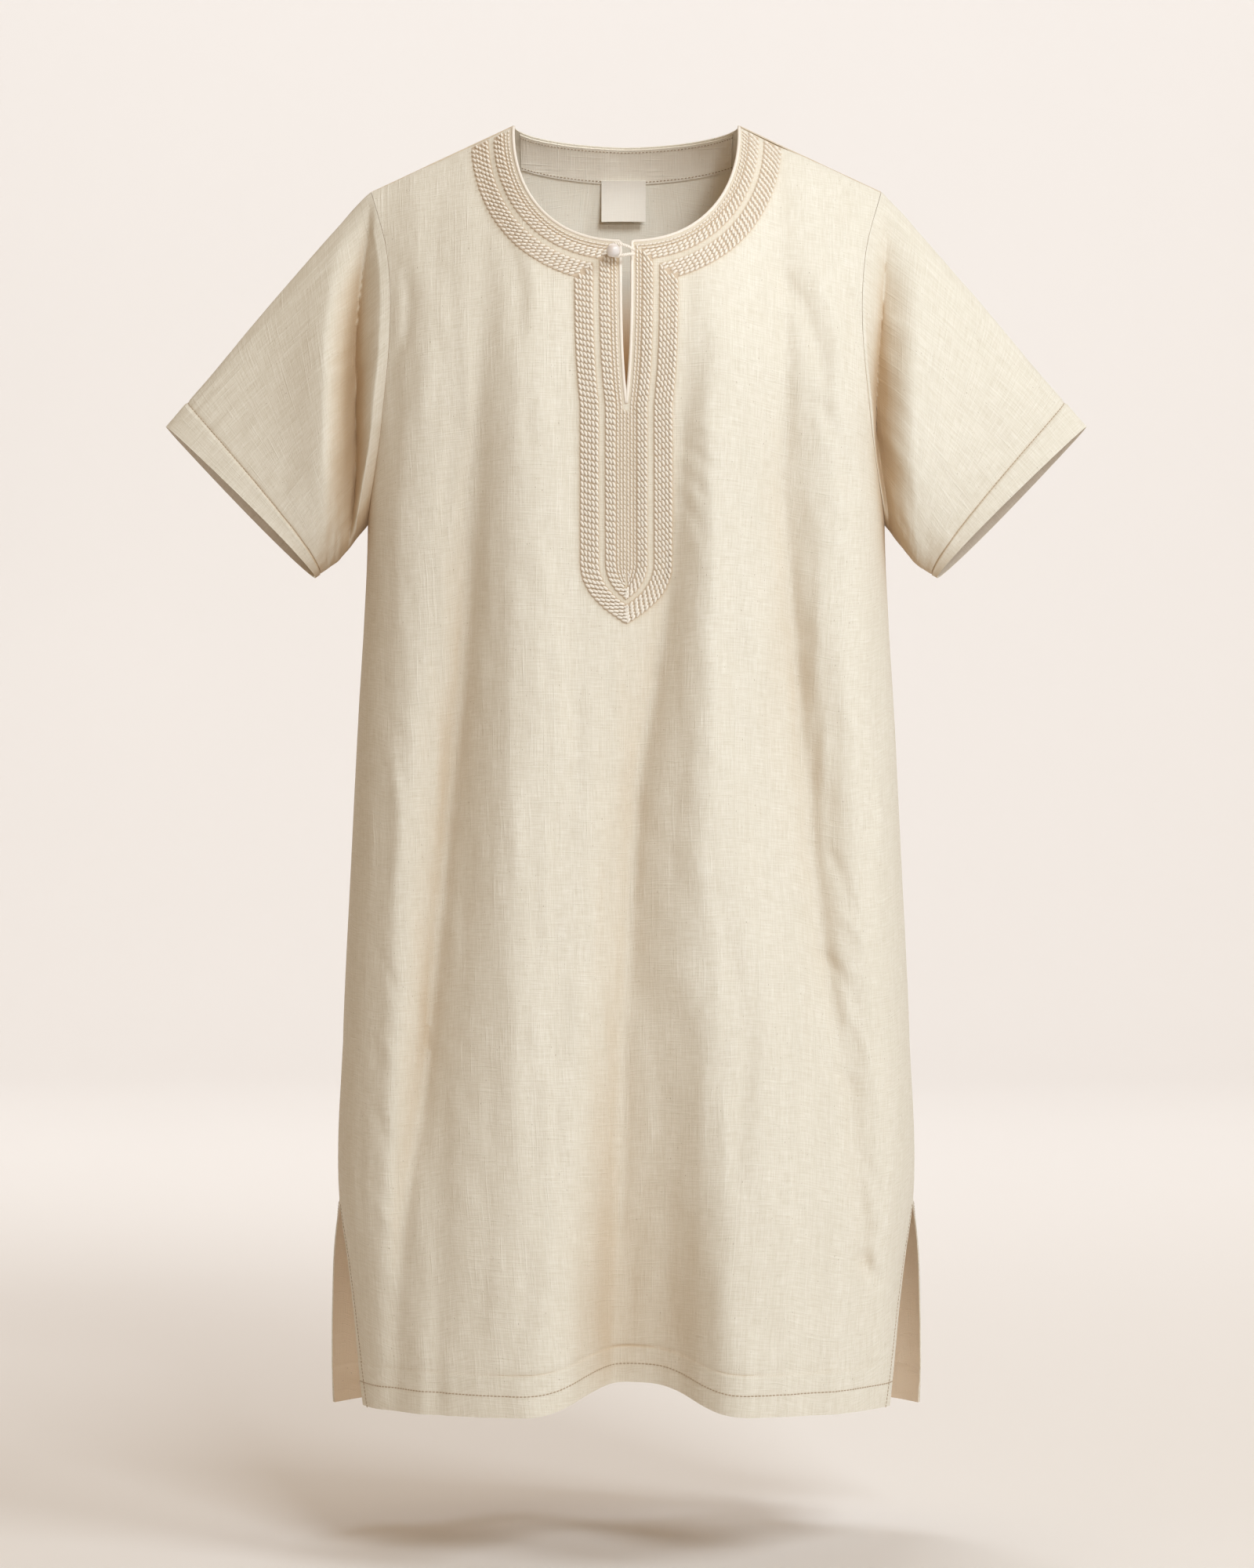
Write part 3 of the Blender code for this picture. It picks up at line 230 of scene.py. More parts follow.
# Sleeves
CUFF_TOP = (0.3745, -0.2200)
CUFF_BOTTOM = (0.2535, -0.3420)
CUFF_Y = -0.008
CUFF_DEPTH = 0.026
CUFF_EGG = 0.35
CUFF_TILT = 0.14
SLEEVE_STARTS = ((0.85, -0.53), (0.78, -0.62), (0.58, -0.81))
SLEEVE_PULLS = (0.18, 0.9, 2.2)
UNDERARM_END = (0.82, -0.57)
SLEEVE_END_PULL = 0.9
SLEEVE_LENGTHS = (0.26, 0.19, 0.085)
UNDERARM_SHARE = 0.60
UNDERARM_SHIFT = (1.0, 0.0, 0.6)
UNDERARM_NORMAL = (0.3, 0.0, -0.95)
SEAM_FADE, CUFF_FADE = 0.007, 0.16
SLEEVE_STREAKS = 0.5

# The fold beside each armhole: a crease, the strip of cloth between it and the seam, and the ridge past it
SleeveFold = namedtuple("SleeveFold", "z left_x right_x left_depth right_depth")
SLEEVE_FOLD = (
    SleeveFold(-0.345, 0.2300, 0.2060, 0.005, 0.006),
    SleeveFold(-0.321, 0.2262, 0.2045, 0.014, 0.014),
    SleeveFold(-0.277, 0.2199, 0.2030, 0.025, 0.020),
    SleeveFold(-0.240, 0.2186, 0.2015, 0.028, 0.022),
    SleeveFold(-0.196, 0.2186, 0.2020, 0.028, 0.022),
    SleeveFold(-0.151, 0.2186, 0.2050, 0.026, 0.020),
    SleeveFold(-0.101, 0.2148, 0.2092, 0.018, 0.015),
    SleeveFold(-0.058, 0.2098, 0.2104, 0.006, 0.007),
    SleeveFold(-0.035, 0.2085, 0.2090, 0.000, 0.000),
)
LEFT_STRIP, RIGHT_STRIP = 0.008, 0.001
LEFT_RIDGE_WIDTH, RIGHT_RIDGE_WIDTH = 0.026, 0.030
RIDGE_RISE = 0.004
BACK_FOLD_SHARE = 0.6

# Embroidery
ARCH_START_Z = -0.335
ARCH_TIP_Z = -0.3475
ARCH_SLOPE = 0.643
NECK_CLOSENESS = 0.95
SHOULDER_MARGIN = 0.003

# Resolution of the shells
Rows = namedtuple("Rows", "neck slit side vent")
PANEL_ROWS = Rows(36, 46, 150, 40)
HALF_COLUMNS = 70
EDGE_COLUMNS = (0.0, 0.0012, 0.0026, 0.0045, 0.0068, 0.0083, VENT_STITCH, 0.0107, 0.0122, 0.0145)
STITCH_ROWS = (-0.0026, -0.0012, 0.0, 0.0012, 0.0026)
SLEEVE_ROWS = 96
FINE = 241


def through(knots, values, at):
    """A smooth curve through the values at the ascending knots, read at the given places."""
    knots = np.asarray(knots, float)
    values = np.asarray(values, float)
    slopes = np.gradient(values, knots)
    at = np.clip(at, knots[0], knots[-1])
    i = np.clip(np.searchsorted(knots, at) - 1, 0, len(knots) - 2)
    step = knots[i + 1] - knots[i]
    u = (at - knots[i]) / step
    return ((2 * u**3 - 3 * u**2 + 1) * values[i] + (u**3 - 2 * u**2 + u) * step * slopes[i]
            + (3 * u**2 - 2 * u**3) * values[i + 1] + (u**3 - u**2) * step * slopes[i + 1])


def column(table, name, z):
    return through([row.z for row in table], [getattr(row, name) for row in table], z)


def smooth_step(u):
    u = np.clip(u, 0.0, 1.0)
    return u * u * (3.0 - 2.0 * u)


def bump(distance, width):
    return np.exp(-(distance / width) ** 2)


def lengths_along(points):
    steps = np.linalg.norm(np.diff(points, axis=0), axis=1)
    return np.concatenate(([0.0], np.cumsum(steps)))


def read_along(points, length, wanted):
    return np.stack([np.interp(wanted, length, points[:, k]) for k in range(points.shape[1])], axis=1)


def noise(u, v, seed):
    """Smooth value noise over a unit lattice, between -1 and 1, the same on each run."""
    size = 64
    table = np.random.default_rng(seed).uniform(-1.0, 1.0, (size, size))
    i, k = np.floor(u).astype(int), np.floor(v).astype(int)
    a, b = smooth_step(u - i), smooth_step(v - k)
    near = table[i % size, k % size] * (1 - b) + table[i % size, (k + 1) % size] * b
    far = table[(i + 1) % size, k % size] * (1 - b) + table[(i + 1) % size, (k + 1) % size] * b
    return near * (1 - a) + far * a


# The surface of the front and the back, as a depth over x and z

def shoulder_z(x):
    inside = np.maximum(NECK_HALF - np.abs(x), 0.0)
    slope_line = NECK_POINT_Z + SHOULDER_SLOPE * (NECK_HALF - np.abs(x))
    return slope_line - SHOULDER_SLOPE / (2 * NECK_HALF) * inside**2


def roll_over(x, z, height, power):
    q = np.clip((z - (shoulder_z(x) - height)) / height, 0.0, 1.0)
    return (1.0 - q**power) ** (1.0 / power)


def fold_height(folds, x, z):
    total = np.zeros(np.broadcast(x, z).shape)
    for fold in folds:
        down = np.clip((fold.z_top - z) / (fold.z_top - fold.z_bottom), 0.0, 1.0)
        halves = (0.0, 0.5, 1.0)
        centre = through(halves, (fold.x_top, fold.x_middle, fold.x_bottom), down)
        height = through(halves, (fold.height_top, fold.height_middle, fold.height_bottom), down)
        width = fold.width_top + (fold.width_bottom - fold.width_top) * down
        fade = smooth_step(down / FADE) * smooth_step((1.0 - down) / FADE)
        total = total + height * fade * np.exp(-np.abs((x - centre) / width) ** fold.square)
    return total


def line_depth(lines, x, z):
    """Depth of the folds that run down the cloth, round on the crests and creased in the valleys."""
    total = np.zeros(np.broadcast(x, z).shape)
    places = [through(FOLD_LEVELS, line.x, z) for line in lines]
    depths = [through(FOLD_LEVELS, line.depth, z) for line in lines]
    for shift in (-FOLD_SOFTNESS, 0.0, FOLD_SOFTNESS):
        for k in range(len(lines) - 1):
            t = (x + shift - places[k]) / (places[k + 1] - places[k])
            inside = (t >= 0.0) & (t < 1.0)
            t = np.clip(t, 0.0, 1.0)
            drop = depths[k + 1] - depths[k]
            falling = depths[k] + drop * t ** FOLD_POWER
            rising = depths[k + 1] - drop * (1.0 - t) ** FOLD_POWER
            total += np.where(inside, np.where(drop >= 0.0, falling, rising), 0.0) / 3
    return total


def crease_height(creases, x, z):
    """The listed creases, each tapered to its ends."""
    total = np.zeros(np.broadcast(x, z).shape)
    for c in creases:
        along = np.array((c.x_to - c.x_from, c.z_to - c.z_from))
        length = np.hypot(*along)
        along = along / length
        u = ((x - c.x_from) * along[0] + (z - c.z_from) * along[1]) / length
        aside = (x - c.x_from) * along[1] - (z - c.z_from) * along[0]
        aside = aside + 0.08 * length * np.sin(u * pi)
        taper = smooth_step((u + 0.15) / 0.45) * smooth_step((1.15 - u) / 0.45)
        total = total + c.height * taper * bump(aside, c.width)
    return total


def round_share(x, half):
    return (1.0 - np.clip(np.abs(x) / half, 0.0, 1.0) ** ROUNDNESS) ** (1.0 / ROUNDNESS)


FINE_STREAK, BROAD_STREAK, CRUMPLE, CROSS_CRUMPLE = 0.00080, 0.0016, 0.00065, 0.00035


def streaks(x, z, seed):
    """Fine upright unevenness of linen that hangs."""
    wander = 0.006 * noise(x / 0.08, z / 0.11, seed + 3)
    fine = noise((x + wander) / 0.0075, z / 0.070, seed)
    broad = noise((x + wander) / 0.021, z / 0.19, seed + 1)
    crumple = noise(x / 0.017 + 0.4 * z / 0.017, z / 0.026, seed + 2)
    cross = noise(x / 0.024 - 0.5 * z / 0.024, z / 0.020, seed + 5)
    return (FINE_STREAK * fine + BROAD_STREAK * broad + CRUMPLE * crumple
            + CROSS_CRUMPLE * np.abs(cross))


def placket_share(x, z):
    """One where the stitched and stiffened neck and placket keep the cloth smooth."""
    beside = 1.0 - smooth_step((np.abs(x) - 0.040) / 0.02)
    above = smooth_step((z + 0.415) / 0.03)
    neck = 1.0 - smooth_step((np.hypot(x, (z - 0.027) * 0.87) - 0.125) / 0.02)
    return np.maximum(beside * above, neck)


def front_detail(x, z):
    free = 1.0 - 0.85 * placket_share(x, z)
    low = smooth_step((-0.10 - z) / 0.25)
    return streaks(x, z, 11) * free * (0.45 + 0.55 * low)


def back_detail(x, z):
    low = smooth_step((-0.06 - z) / 0.25)
    return streaks(x, z, 47) * (0.45 + 0.55 * low)


def front_y(x, z, folded=True):
    side = column(SECTIONS, "side_y", z)
    bulge = (column(SECTIONS, "front_y", z) - side) * round_share(x, column(SECTIONS, "front_half", z))
    y = (side + bulge) * roll_over(x, z, FRONT_ROLL, FRONT_ROLL_POWER) + SEAM_LAP / 2
    if not folded:
        return y
    raised = fold_height(FRONT_FOLDS, x, z) + crease_height(FRONT_CREASES, x, z) + front_detail(x, z)
    return y - raised + line_depth(FRONT_LINES, x, z)


def back_y(x, z, folded=True):
    side = column(SECTIONS, "side_y", z)
    bulge = (column(SECTIONS, "back_y", z) - side) * round_share(x, column(SECTIONS, "back_half", z))
    y = (side + bulge) * roll_over(x, z, BACK_ROLL, BACK_ROLL_POWER) - SEAM_LAP / 2
    if not folded:
        return y
    raised = fold_height(BACK_FOLDS, x, z) + crease_height(BACK_CREASES, x, z) + back_detail(x, z)
    return y + raised - line_depth(BACK_LINES, x, z)


def leaned(points):
    """The section leans out behind the side seam, so that a strip of the back shows."""
    x, y, z = points[..., 0], points[..., 1], points[..., 2]
    behind = y - column(SECTIONS, "side_y", z)
    share = smooth_step((np.abs(x) - LEAN_FROM_X) / LEAN_OVER_X)
    share = share * smooth_step((LEAN_FROM_Z - z) / LEAN_OVER_Z)
    moved = points.copy()
    moved[..., 0] += np.sign(x) * SIDE_LEAN * behind * share * bump(behind, LEAN_DEPTH)
    return moved


# Edges of the panels in x and z, on the viewer's right

def neck_curve(bottom_z, roundness, end_x=0.0):
    turn = np.linspace(0.0, pi / 2, FINE)
    x = NECK_HALF * np.cos(turn) ** (2 / roundness)
    z = NECK_POINT_Z - (NECK_POINT_Z - bottom_z) * np.sin(turn) ** (2 / roundness)
    x[-1] = 0.0
    keep = x > end_x
    last_z = np.interp(end_x, x[::-1], z[::-1])
    return np.column_stack((np.append(x[keep], end_x), np.append(z[keep], last_z)))


def slit_half(z):
    down = np.clip((FRONT_NECK_Z - z) / (FRONT_NECK_Z - SLIT_END_Z), 0.0, 1.0)
    return SLIT_HALF * (1.0 - down**SLIT_TAPER)


def vertical(x_of_z, z_from, z_to):
    z = np.linspace(z_from, z_to, FINE)
    return np.column_stack((x_of_z(z), z))


def vent_edge(half_name, hem_z, opening, power):
    def x_of_z(z):
        open_share = opening * ((VENT_TOP_Z - z) / (VENT_TOP_Z - hem_z)) ** power
        return column(SECTIONS, half_name, z) * (1.0 - open_share**ROUNDNESS) ** (1.0 / ROUNDNESS)
    return vertical(x_of_z, VENT_TOP_Z, hem_z)


def evenly(edge, count, surface):
    lifted = np.column_stack((edge[:, 0], surface(edge[:, 0], edge[:, 1], folded=False), edge[:, 1]))
    length = lengths_along(lifted)
    return read_along(edge, length, np.linspace(0.0, length[-1], count + 1))


def with_hem_rows(edge):
    """The vent segment's rows, with close ones about the hem's stitching and at its lower edge."""
    hem_z = edge[-1, 1]
    stitch_z = hem_z + HEM_DEPTH
    reach = STITCH_ROWS[-1] + 0.0012
    z = [v for v in edge[:-1, 1] if abs(v - stitch_z) > reach and v - hem_z > 0.004]
    z += [stitch_z + step for step in STITCH_ROWS] + [hem_z + 0.0024, hem_z + 0.001, hem_z]
    z = np.sort(z)[::-1]
    return np.column_stack((np.interp(z, edge[::-1, 1], edge[::-1, 0]), z))


def hem_relief(above):
    """How far a hem stands out, from its height above the stitch line, with a groove at the stitches."""
    return HEM_STEP * smooth_step(-above / GROOVE_WIDTH) - HEM_GROOVE * bump(above, GROOVE_WIDTH)


def panel_edges(which, rows):
    front = which == "front"
    surface = front_y if front else back_y
    half_name = which + "_half"
    hem_z = FRONT_HEM_Z if front else BACK_HEM_Z
    corner_z = FRONT_CORNER_Z if front else BACK_HEM_Z
    if front:
        neck = neck_curve(FRONT_NECK_Z, NECK_ROUNDNESS, SLIT_HALF)
    else:
        neck = neck_curve(BACK_NECK_Z, BACK_NECK_ROUNDNESS)
    centre_x = slit_half if front else np.zeros_like

    def armhole_x(z):
        return column(ARMHOLE, which + "_x", z)

    def side_x(z):
        return column(SECTIONS, half_name, z)

    opening = FRONT_VENT_OPEN if front else BACK_VENT_OPEN
    power = FRONT_VENT_POWER if front else BACK_VENT_POWER
    inner = (
        neck,
        vertical(centre_x, neck[-1, 1], SLIT_END_Z),
        vertical(np.zeros_like, SLIT_END_Z, VENT_TOP_Z),
        vertical(np.zeros_like, VENT_TOP_Z, hem_z),
    )
    outer = (
        vertical(armhole_x, TIP_Z, ARMHOLE_SPLIT_Z),
        vertical(armhole_x, ARMHOLE_SPLIT_Z, UNDERARM_Z),
        vertical(side_x, UNDERARM_Z, VENT_TOP_Z),
        vent_edge(half_name, corner_z, opening, power),
    )
    sides = []
    for segments in (inner, outer):
        parts = [evenly(edge, count, surface) for edge, count in zip(segments, rows)]
        parts[-1] = with_hem_rows(parts[-1])
        sides.append(np.vstack([parts[0]] + [part[1:] for part in parts[1:]]))
    return sides[0], sides[1]


def hem_lift(which, x, z):
    if which == "front":
        size, centre, width, power = FRONT_LIFT, FRONT_LIFT_X, FRONT_LIFT_WIDTH, 3
        hem_z = FRONT_HEM_Z
    else:
        size, centre, width, power = BACK_LIFT, BACK_LIFT_X, BACK_LIFT_WIDTH, 2
        hem_z = BACK_HEM_Z
    near = smooth_step((hem_z + LIFT_HEIGHT - z) / LIFT_HEIGHT)
    return size * near * np.exp(-np.abs((x - centre) / width) ** power)


def half_grid(which, side, rows):
    """Points [row, column] of half a panel, from its inner to its outer edge."""
    surface = front_y if which == "front" else back_y
    outwards = -1.0 if which == "front" else 1.0
    hem_z = FRONT_HEM_Z if which == "front" else BACK_HEM_Z
    inner, outer = panel_edges(which, rows)
    share = np.sin(np.linspace(0.0, pi / 2, FINE))
    grid = []
    for start, end in zip(inner, outer):
        line = start + (end - start) * share[:, None]
        lifted = np.column_stack((line[:, 0], surface(line[:, 0], line[:, 1], folded=False), line[:, 1]))
        length = lengths_along(lifted)
        wanted = np.concatenate((np.linspace(0.0, length[-1] - 0.018, HALF_COLUMNS),
                                 length[-1] - np.array(EDGE_COLUMNS[::-1])))
        at = np.interp(wanted, length, share)
        at[-1] = 1.0
        x = (start[0] + (end[0] - start[0]) * at) * side
        z = start[1] + (end[1] - start[1]) * at
        lifted_z = z + hem_lift(which, x, z)
        y = surface(x, lifted_z) + outwards * hem_relief(z - hem_z - HEM_DEPTH)
        grid.append(np.column_stack((x, y, lifted_z)))
    return leaned(np.array(grid))


# Meshes

def grid_faces(index):
    a, b = index[:-1, :-1].ravel(), index[1:, :-1].ravel()
    c, d = index[1:, 1:].ravel(), index[:-1, 1:].ravel()
    return np.column_stack((a, b, c, d))


def sheet_normals(points, faces):
    corners = points[faces]
    across = np.cross(corners[:, 2] - corners[:, 0], corners[:, 3] - corners[:, 1])
    normals = np.zeros_like(points)
    for k in range(4):
        np.add.at(normals, faces[:, k], across)
    size = np.linalg.norm(normals, axis=1)
    return normals / np.where(size > 0.0, size, 1.0)[:, None]


def linked(name, data):
    made = bpy.data.objects.new(name, data)
    bpy.context.scene.collection.objects.link(made)
    return made


def make_object(name, points, faces, materials, uv=None, face_material=None):
    mesh = bpy.data.meshes.new(name)
    mesh.from_pydata(np.asarray(points, float).tolist(), [], [tuple(f) for f in np.asarray(faces).tolist()])
    for finish in materials:
        mesh.materials.append(finish)
    if uv is not None:
        layer = mesh.uv_layers.new(name="Cloth")
        corner = np.empty(len(mesh.loops), int)
        mesh.loops.foreach_get("vertex_index", corner)
        layer.data.foreach_set("uv", np.asarray(uv, np.float32)[corner].ravel())
    if face_material is not None:
        mesh.polygons.foreach_set("material_index", np.asarray(face_material, np.int32))
    mesh.shade_smooth()
    mesh.set_sharp_from_angle(angle=radians(50))
    return linked(name, mesh)


def shell(name, points, normals, faces, uv, thickness, materials):
    """A closed cloth wall inside the given outer sheet; its inner faces take the second material."""
    used, number = np.unique(faces, return_inverse=True)
    faces = number.reshape(faces.shape)
    outer = points[used]
    inner = outer - normals[used] * np.broadcast_to(thickness, len(points))[used, None]
    count = len(used)
    pairs = np.vstack([faces[:, [k, (k + 1) % 4]] for k in range(4)])
    key = pairs[:, 0] * count + pairs[:, 1]
    open_edge = ~np.isin(key, pairs[:, 1] * count + pairs[:, 0])
    a, b = pairs[open_edge].T
    rim = np.column_stack((b, a, a + count, b + count))
    all_faces = np.vstack((faces, faces[:, ::-1] + count, rim))
    face_material = np.zeros(len(all_faces), int)
    face_material[len(faces):2 * len(faces)] = 1
    return make_object(name, np.vstack((outer, inner)), all_faces, materials,
                       np.vstack((uv[used], uv[used])), face_material)


def cloth_uv(grid, side):
    """Cloth coordinates in metres: across along each row, and down each column."""
    step = np.diff(grid, axis=1)
    across = np.concatenate((np.zeros((len(grid), 1)),
                             np.cumsum(np.hypot(step[..., 0], step[..., 1]), axis=1)), 1)
    across = across + np.abs(grid[:, :1, 0])
    step = np.diff(grid, axis=0)
    down = np.concatenate((np.zeros((1, grid.shape[1])),
                           np.cumsum(np.hypot(step[..., 1], step[..., 2]), axis=0)))
    down = down - grid[:1, :, 2]
    return np.stack((across * side, -down), axis=-1)


Panel = namedtuple("Panel", "made left right")
Half = namedtuple("Half", "points normals")


def add_panel(which, materials):
    """The front or the back: the object, and the points and normals of both halves."""
    rows = PANEL_ROWS
    joined_from = rows.neck + rows.slit if which == "front" else rows.neck
    halves = {side: half_grid(which, side, rows) for side in (-1, 1)}
    shape = halves[1].shape[:2]
    count = shape[0] * shape[1]
    index = {-1: np.arange(count).reshape(shape), 1: np.arange(count, 2 * count).reshape(shape)}
    index[1][joined_from:, 0] = index[-1][joined_from:, 0]
    points = np.vstack([halves[side].reshape(-1, 3) for side in (-1, 1)])
    uv = np.vstack([cloth_uv(halves[side], side).reshape(-1, 2) for side in (-1, 1)])
    outwards = -1 if which == "front" else 1
    faces = []
    for side in (-1, 1):
        quads = grid_faces(index[side])
        faces.append(quads if side * outwards < 0 else quads[:, ::-1])
    faces = np.vstack(faces)
    normals = sheet_normals(points, faces)
    slope = np.array((SHOULDER_SLOPE, 0.0, 1.0)) / np.hypot(SHOULDER_SLOPE, 1.0)
    seam = slice(rows.neck + rows.slit, rows.neck + rows.slit + rows.side + 1)
    thickness = np.full(len(points), CLOTH)
    for side in (-1, 1):
        normals[index[side][0, :]] = slope * (side, 1, 1)
        normals[index[side][seam, -1]] = (side, 0.0, 0.0)
        thickness[index[side][-6:]] += HEM_LAYER
    made = shell(which + "_cloth", points, normals, faces, uv, thickness, materials)
    sides = [Half(points[index[side]], normals[index[side]]) for side in (-1, 1)]
    return Panel(made, *sides)


# Sleeves

def armhole_ring(front, back):
    """The closed armhole, from the shoulder tip down the front and up the back."""
    stop = PANEL_ROWS.neck + PANEL_ROWS.slit + 1
    edges = [(half.points[:stop, -1], half.normals[:stop, -1],
              half.points[:stop, -1] - half.points[:stop, -4])
             for half in (front, back)]
    ring, normals, away = (np.vstack((edges[0][k], edges[1][k][-2:0:-1])) for k in range(3))
    turns = []
    for edge, start in zip(edges, (0.0, 2 * pi)):
        length = lengths_along(edge[0])
        turns.append(start + (pi - start) * length / length[-1])
    turn = np.concatenate((turns[0], turns[1][-2:0:-1]))
    ring[0] = (edges[0][0][0] + edges[1][0][0]) / 2
    ring[stop - 1] = (edges[0][0][-1] + edges[1][0][-1]) / 2
    away[0] = (edges[0][2][0] + edges[1][2][0]) / 2
    return ring, normals, away, turn


def cuff_ring(side, turn):
    top, bottom = np.array(CUFF_TOP), np.array(CUFF_BOTTOM)
    centre, reach = (top + bottom) / 2, (top - bottom) / 2
    depth = -CUFF_DEPTH * np.sin(turn) * (1.0 - CUFF_EGG * np.cos(turn))
    line = centre + reach * np.cos(turn)[:, None]
    along = top - np.array((TIP_HALF, TIP_Z))
    along = along / np.linalg.norm(along)
    line = line + along * (CUFF_TILT * depth)[:, None]
    return np.column_stack((line[:, 0] * side, CUFF_Y + depth, line[:, 1]))


def sleeve_sink(side, x, z):
    """How far the fold beside the armhole sinks in; less than nothing on the ridge past it."""
    word = "left" if side < 0 else "right"
    strip = LEFT_STRIP if side < 0 else RIGHT_STRIP
    ridge_width = LEFT_RIDGE_WIDTH if side < 0 else RIGHT_RIDGE_WIDTH
    crease_x = column(SLEEVE_FOLD, word + "_x", z)
    depth = column(SLEEVE_FOLD, word + "_depth", z)
    inner_width = np.maximum(crease_x - column(ARMHOLE, "front_x", z) - strip, 0.005)
    inner = np.clip(1.0 - (crease_x - x) / inner_width, 0.0, 1.0) ** 1.3
    outer = np.clip(1.0 - (x - crease_x) / ridge_width, 0.0, 1.0) ** 1.7
    past = (x - crease_x - ridge_width * 0.9) / (ridge_width * 1.1)
    ridge = RIDGE_RISE * bump(past, 1.0) * smooth_step((x - crease_x) / ridge_width)
    return depth * np.where(x < crease_x, inner, outer) - ridge * depth / 0.02


def sleeve_grid(side, ring, turn, rows):
    cuff = cuff_ring(side, turn)
    reach = np.linalg.norm(cuff - ring, axis=1)[:, None]
    share = np.abs(1.0 - np.abs(turn / pi - 1.0))
    places = (0.0, 0.5, 1.0)
    start = np.column_stack([
        through(places, [s[0] for s in SLEEVE_STARTS], share) * side,
        np.zeros(len(turn)),
        through(places, [s[1] for s in SLEEVE_STARTS], share)])
    start = start * through(places, SLEEVE_PULLS, share)[:, None] * reach
    top_end = np.array((CUFF_TOP[0] - TIP_HALF, CUFF_TOP[1] - TIP_Z))
    top_end = top_end / np.linalg.norm(top_end)
    late = smooth_step(2 * share - 1.0)[:, None]
    end = top_end * (1.0 - late) + np.array(UNDERARM_END) * late
    end = np.column_stack((end[:, 0] * side, np.zeros(len(turn)), end[:, 1])) * reach * SLEEVE_END_PULL
    length = through(places, SLEEVE_LENGTHS, share)
    front_half = np.sin(turn) > 0.0
    inwards = np.where(front_half, 1.0, -BACK_FOLD_SHARE) * np.abs(np.sin(turn)) ** 0.35
    grid = []
    for w in rows:
        points = ((2 * w**3 - 3 * w**2 + 1) * ring + (w**3 - 2 * w**2 + w) * start
                  + (3 * w**2 - 2 * w**3) * cuff + (w**3 - w**2) * end)
        sink = sleeve_sink(side, np.abs(points[:, 0]), points[:, 2])
        sink = sink * smooth_step(w * length / SEAM_FADE) * smooth_step((1.0 - w) / CUFF_FADE)
        points[:, 1] += inwards * sink
        grid.append(points)
    return np.array(grid)


def sleeve_row_places():
    hem_at = 1.0 - SLEEVE_HEM_DEPTH / SLEEVE_LENGTHS[1]
    body = np.linspace(0.0, 1.0, SLEEVE_ROWS) ** 1.5
    body = body[(np.abs(body - hem_at) > 0.02) & (body < 0.99)]
    close = hem_at + np.array(STITCH_ROWS) / SLEEVE_LENGTHS[1]
    return np.sort(np.concatenate((body, close, (0.995, 1.0)))), hem_at


Sleeve = namedtuple("Sleeve", "made points normals stitch_row")


def add_sleeve(side, name, front, back, materials):
    ring, normals, away, turn = armhole_ring(front, back)
    tangent = np.roll(ring, -1, axis=0) - np.roll(ring, 1, axis=0)
    aside = np.cross(tangent, normals)
    aside = aside / np.linalg.norm(aside, axis=1)[:, None]
    aside = aside * np.sign(np.sum(aside * away, axis=1))[:, None]
    share = np.abs(1.0 - np.abs(turn / pi - 1.0))
    low = smooth_step((share - UNDERARM_SHARE) / (1.0 - UNDERARM_SHARE))[:, None]
    outside = np.array(UNDERARM_SHIFT) * (side, 1, 1) / np.linalg.norm(UNDERARM_SHIFT)
    away_low = aside * (1.0 - low) + outside * low
    ring = ring + away_low / np.linalg.norm(away_low, axis=1)[:, None] * SEAM_GAP
    places, hem_at = sleeve_row_places()
    grid = sleeve_grid(side, ring, turn, places)
    count = grid.shape[1]
    index = np.arange(grid.shape[0] * count).reshape(grid.shape[:2])
    faces = grid_faces(np.column_stack((index, index[:, :1])))
    if side > 0:
        faces = faces[:, ::-1]
    points = grid.reshape(-1, 3)
    sheet_n = sheet_normals(points, faces)
    length = places[:, None] * 0.2
    around = turn[None, :] * 0.06
    uv = np.stack(np.broadcast_arrays(around, -length), axis=-1).reshape(-1, 2)
    detail = SLEEVE_STREAKS * streaks(uv[:, 0] * 1.3, uv[:, 1] * 1.2, 83 + side)
    detail *= (smooth_step(places / 0.12) * smooth_step((1.0 - places) / 0.15)).repeat(count)
    detail += hem_relief((hem_at - places) * SLEEVE_LENGTHS[1]).repeat(count)
    points = points + sheet_n * detail[:, None]
    sheet_n = sheet_normals(points, faces)
    first = normals * (1.0 - low) + np.array(UNDERARM_NORMAL) * (side, 1, 1) * low
    sheet_n[:count] = first / np.linalg.norm(first, axis=1)[:, None]
    thickness = CLOTH + HEM_LAYER * (places > hem_at).repeat(count)
    made = shell(name, points, sheet_n, faces, uv, thickness, materials)
    stitch_row = int(np.argmin(np.abs(places - hem_at)))
    return Sleeve(made, points.reshape(grid.shape), sheet_n.reshape(grid.shape), stitch_row)


# Stitches: many small seeds of thread in one mesh

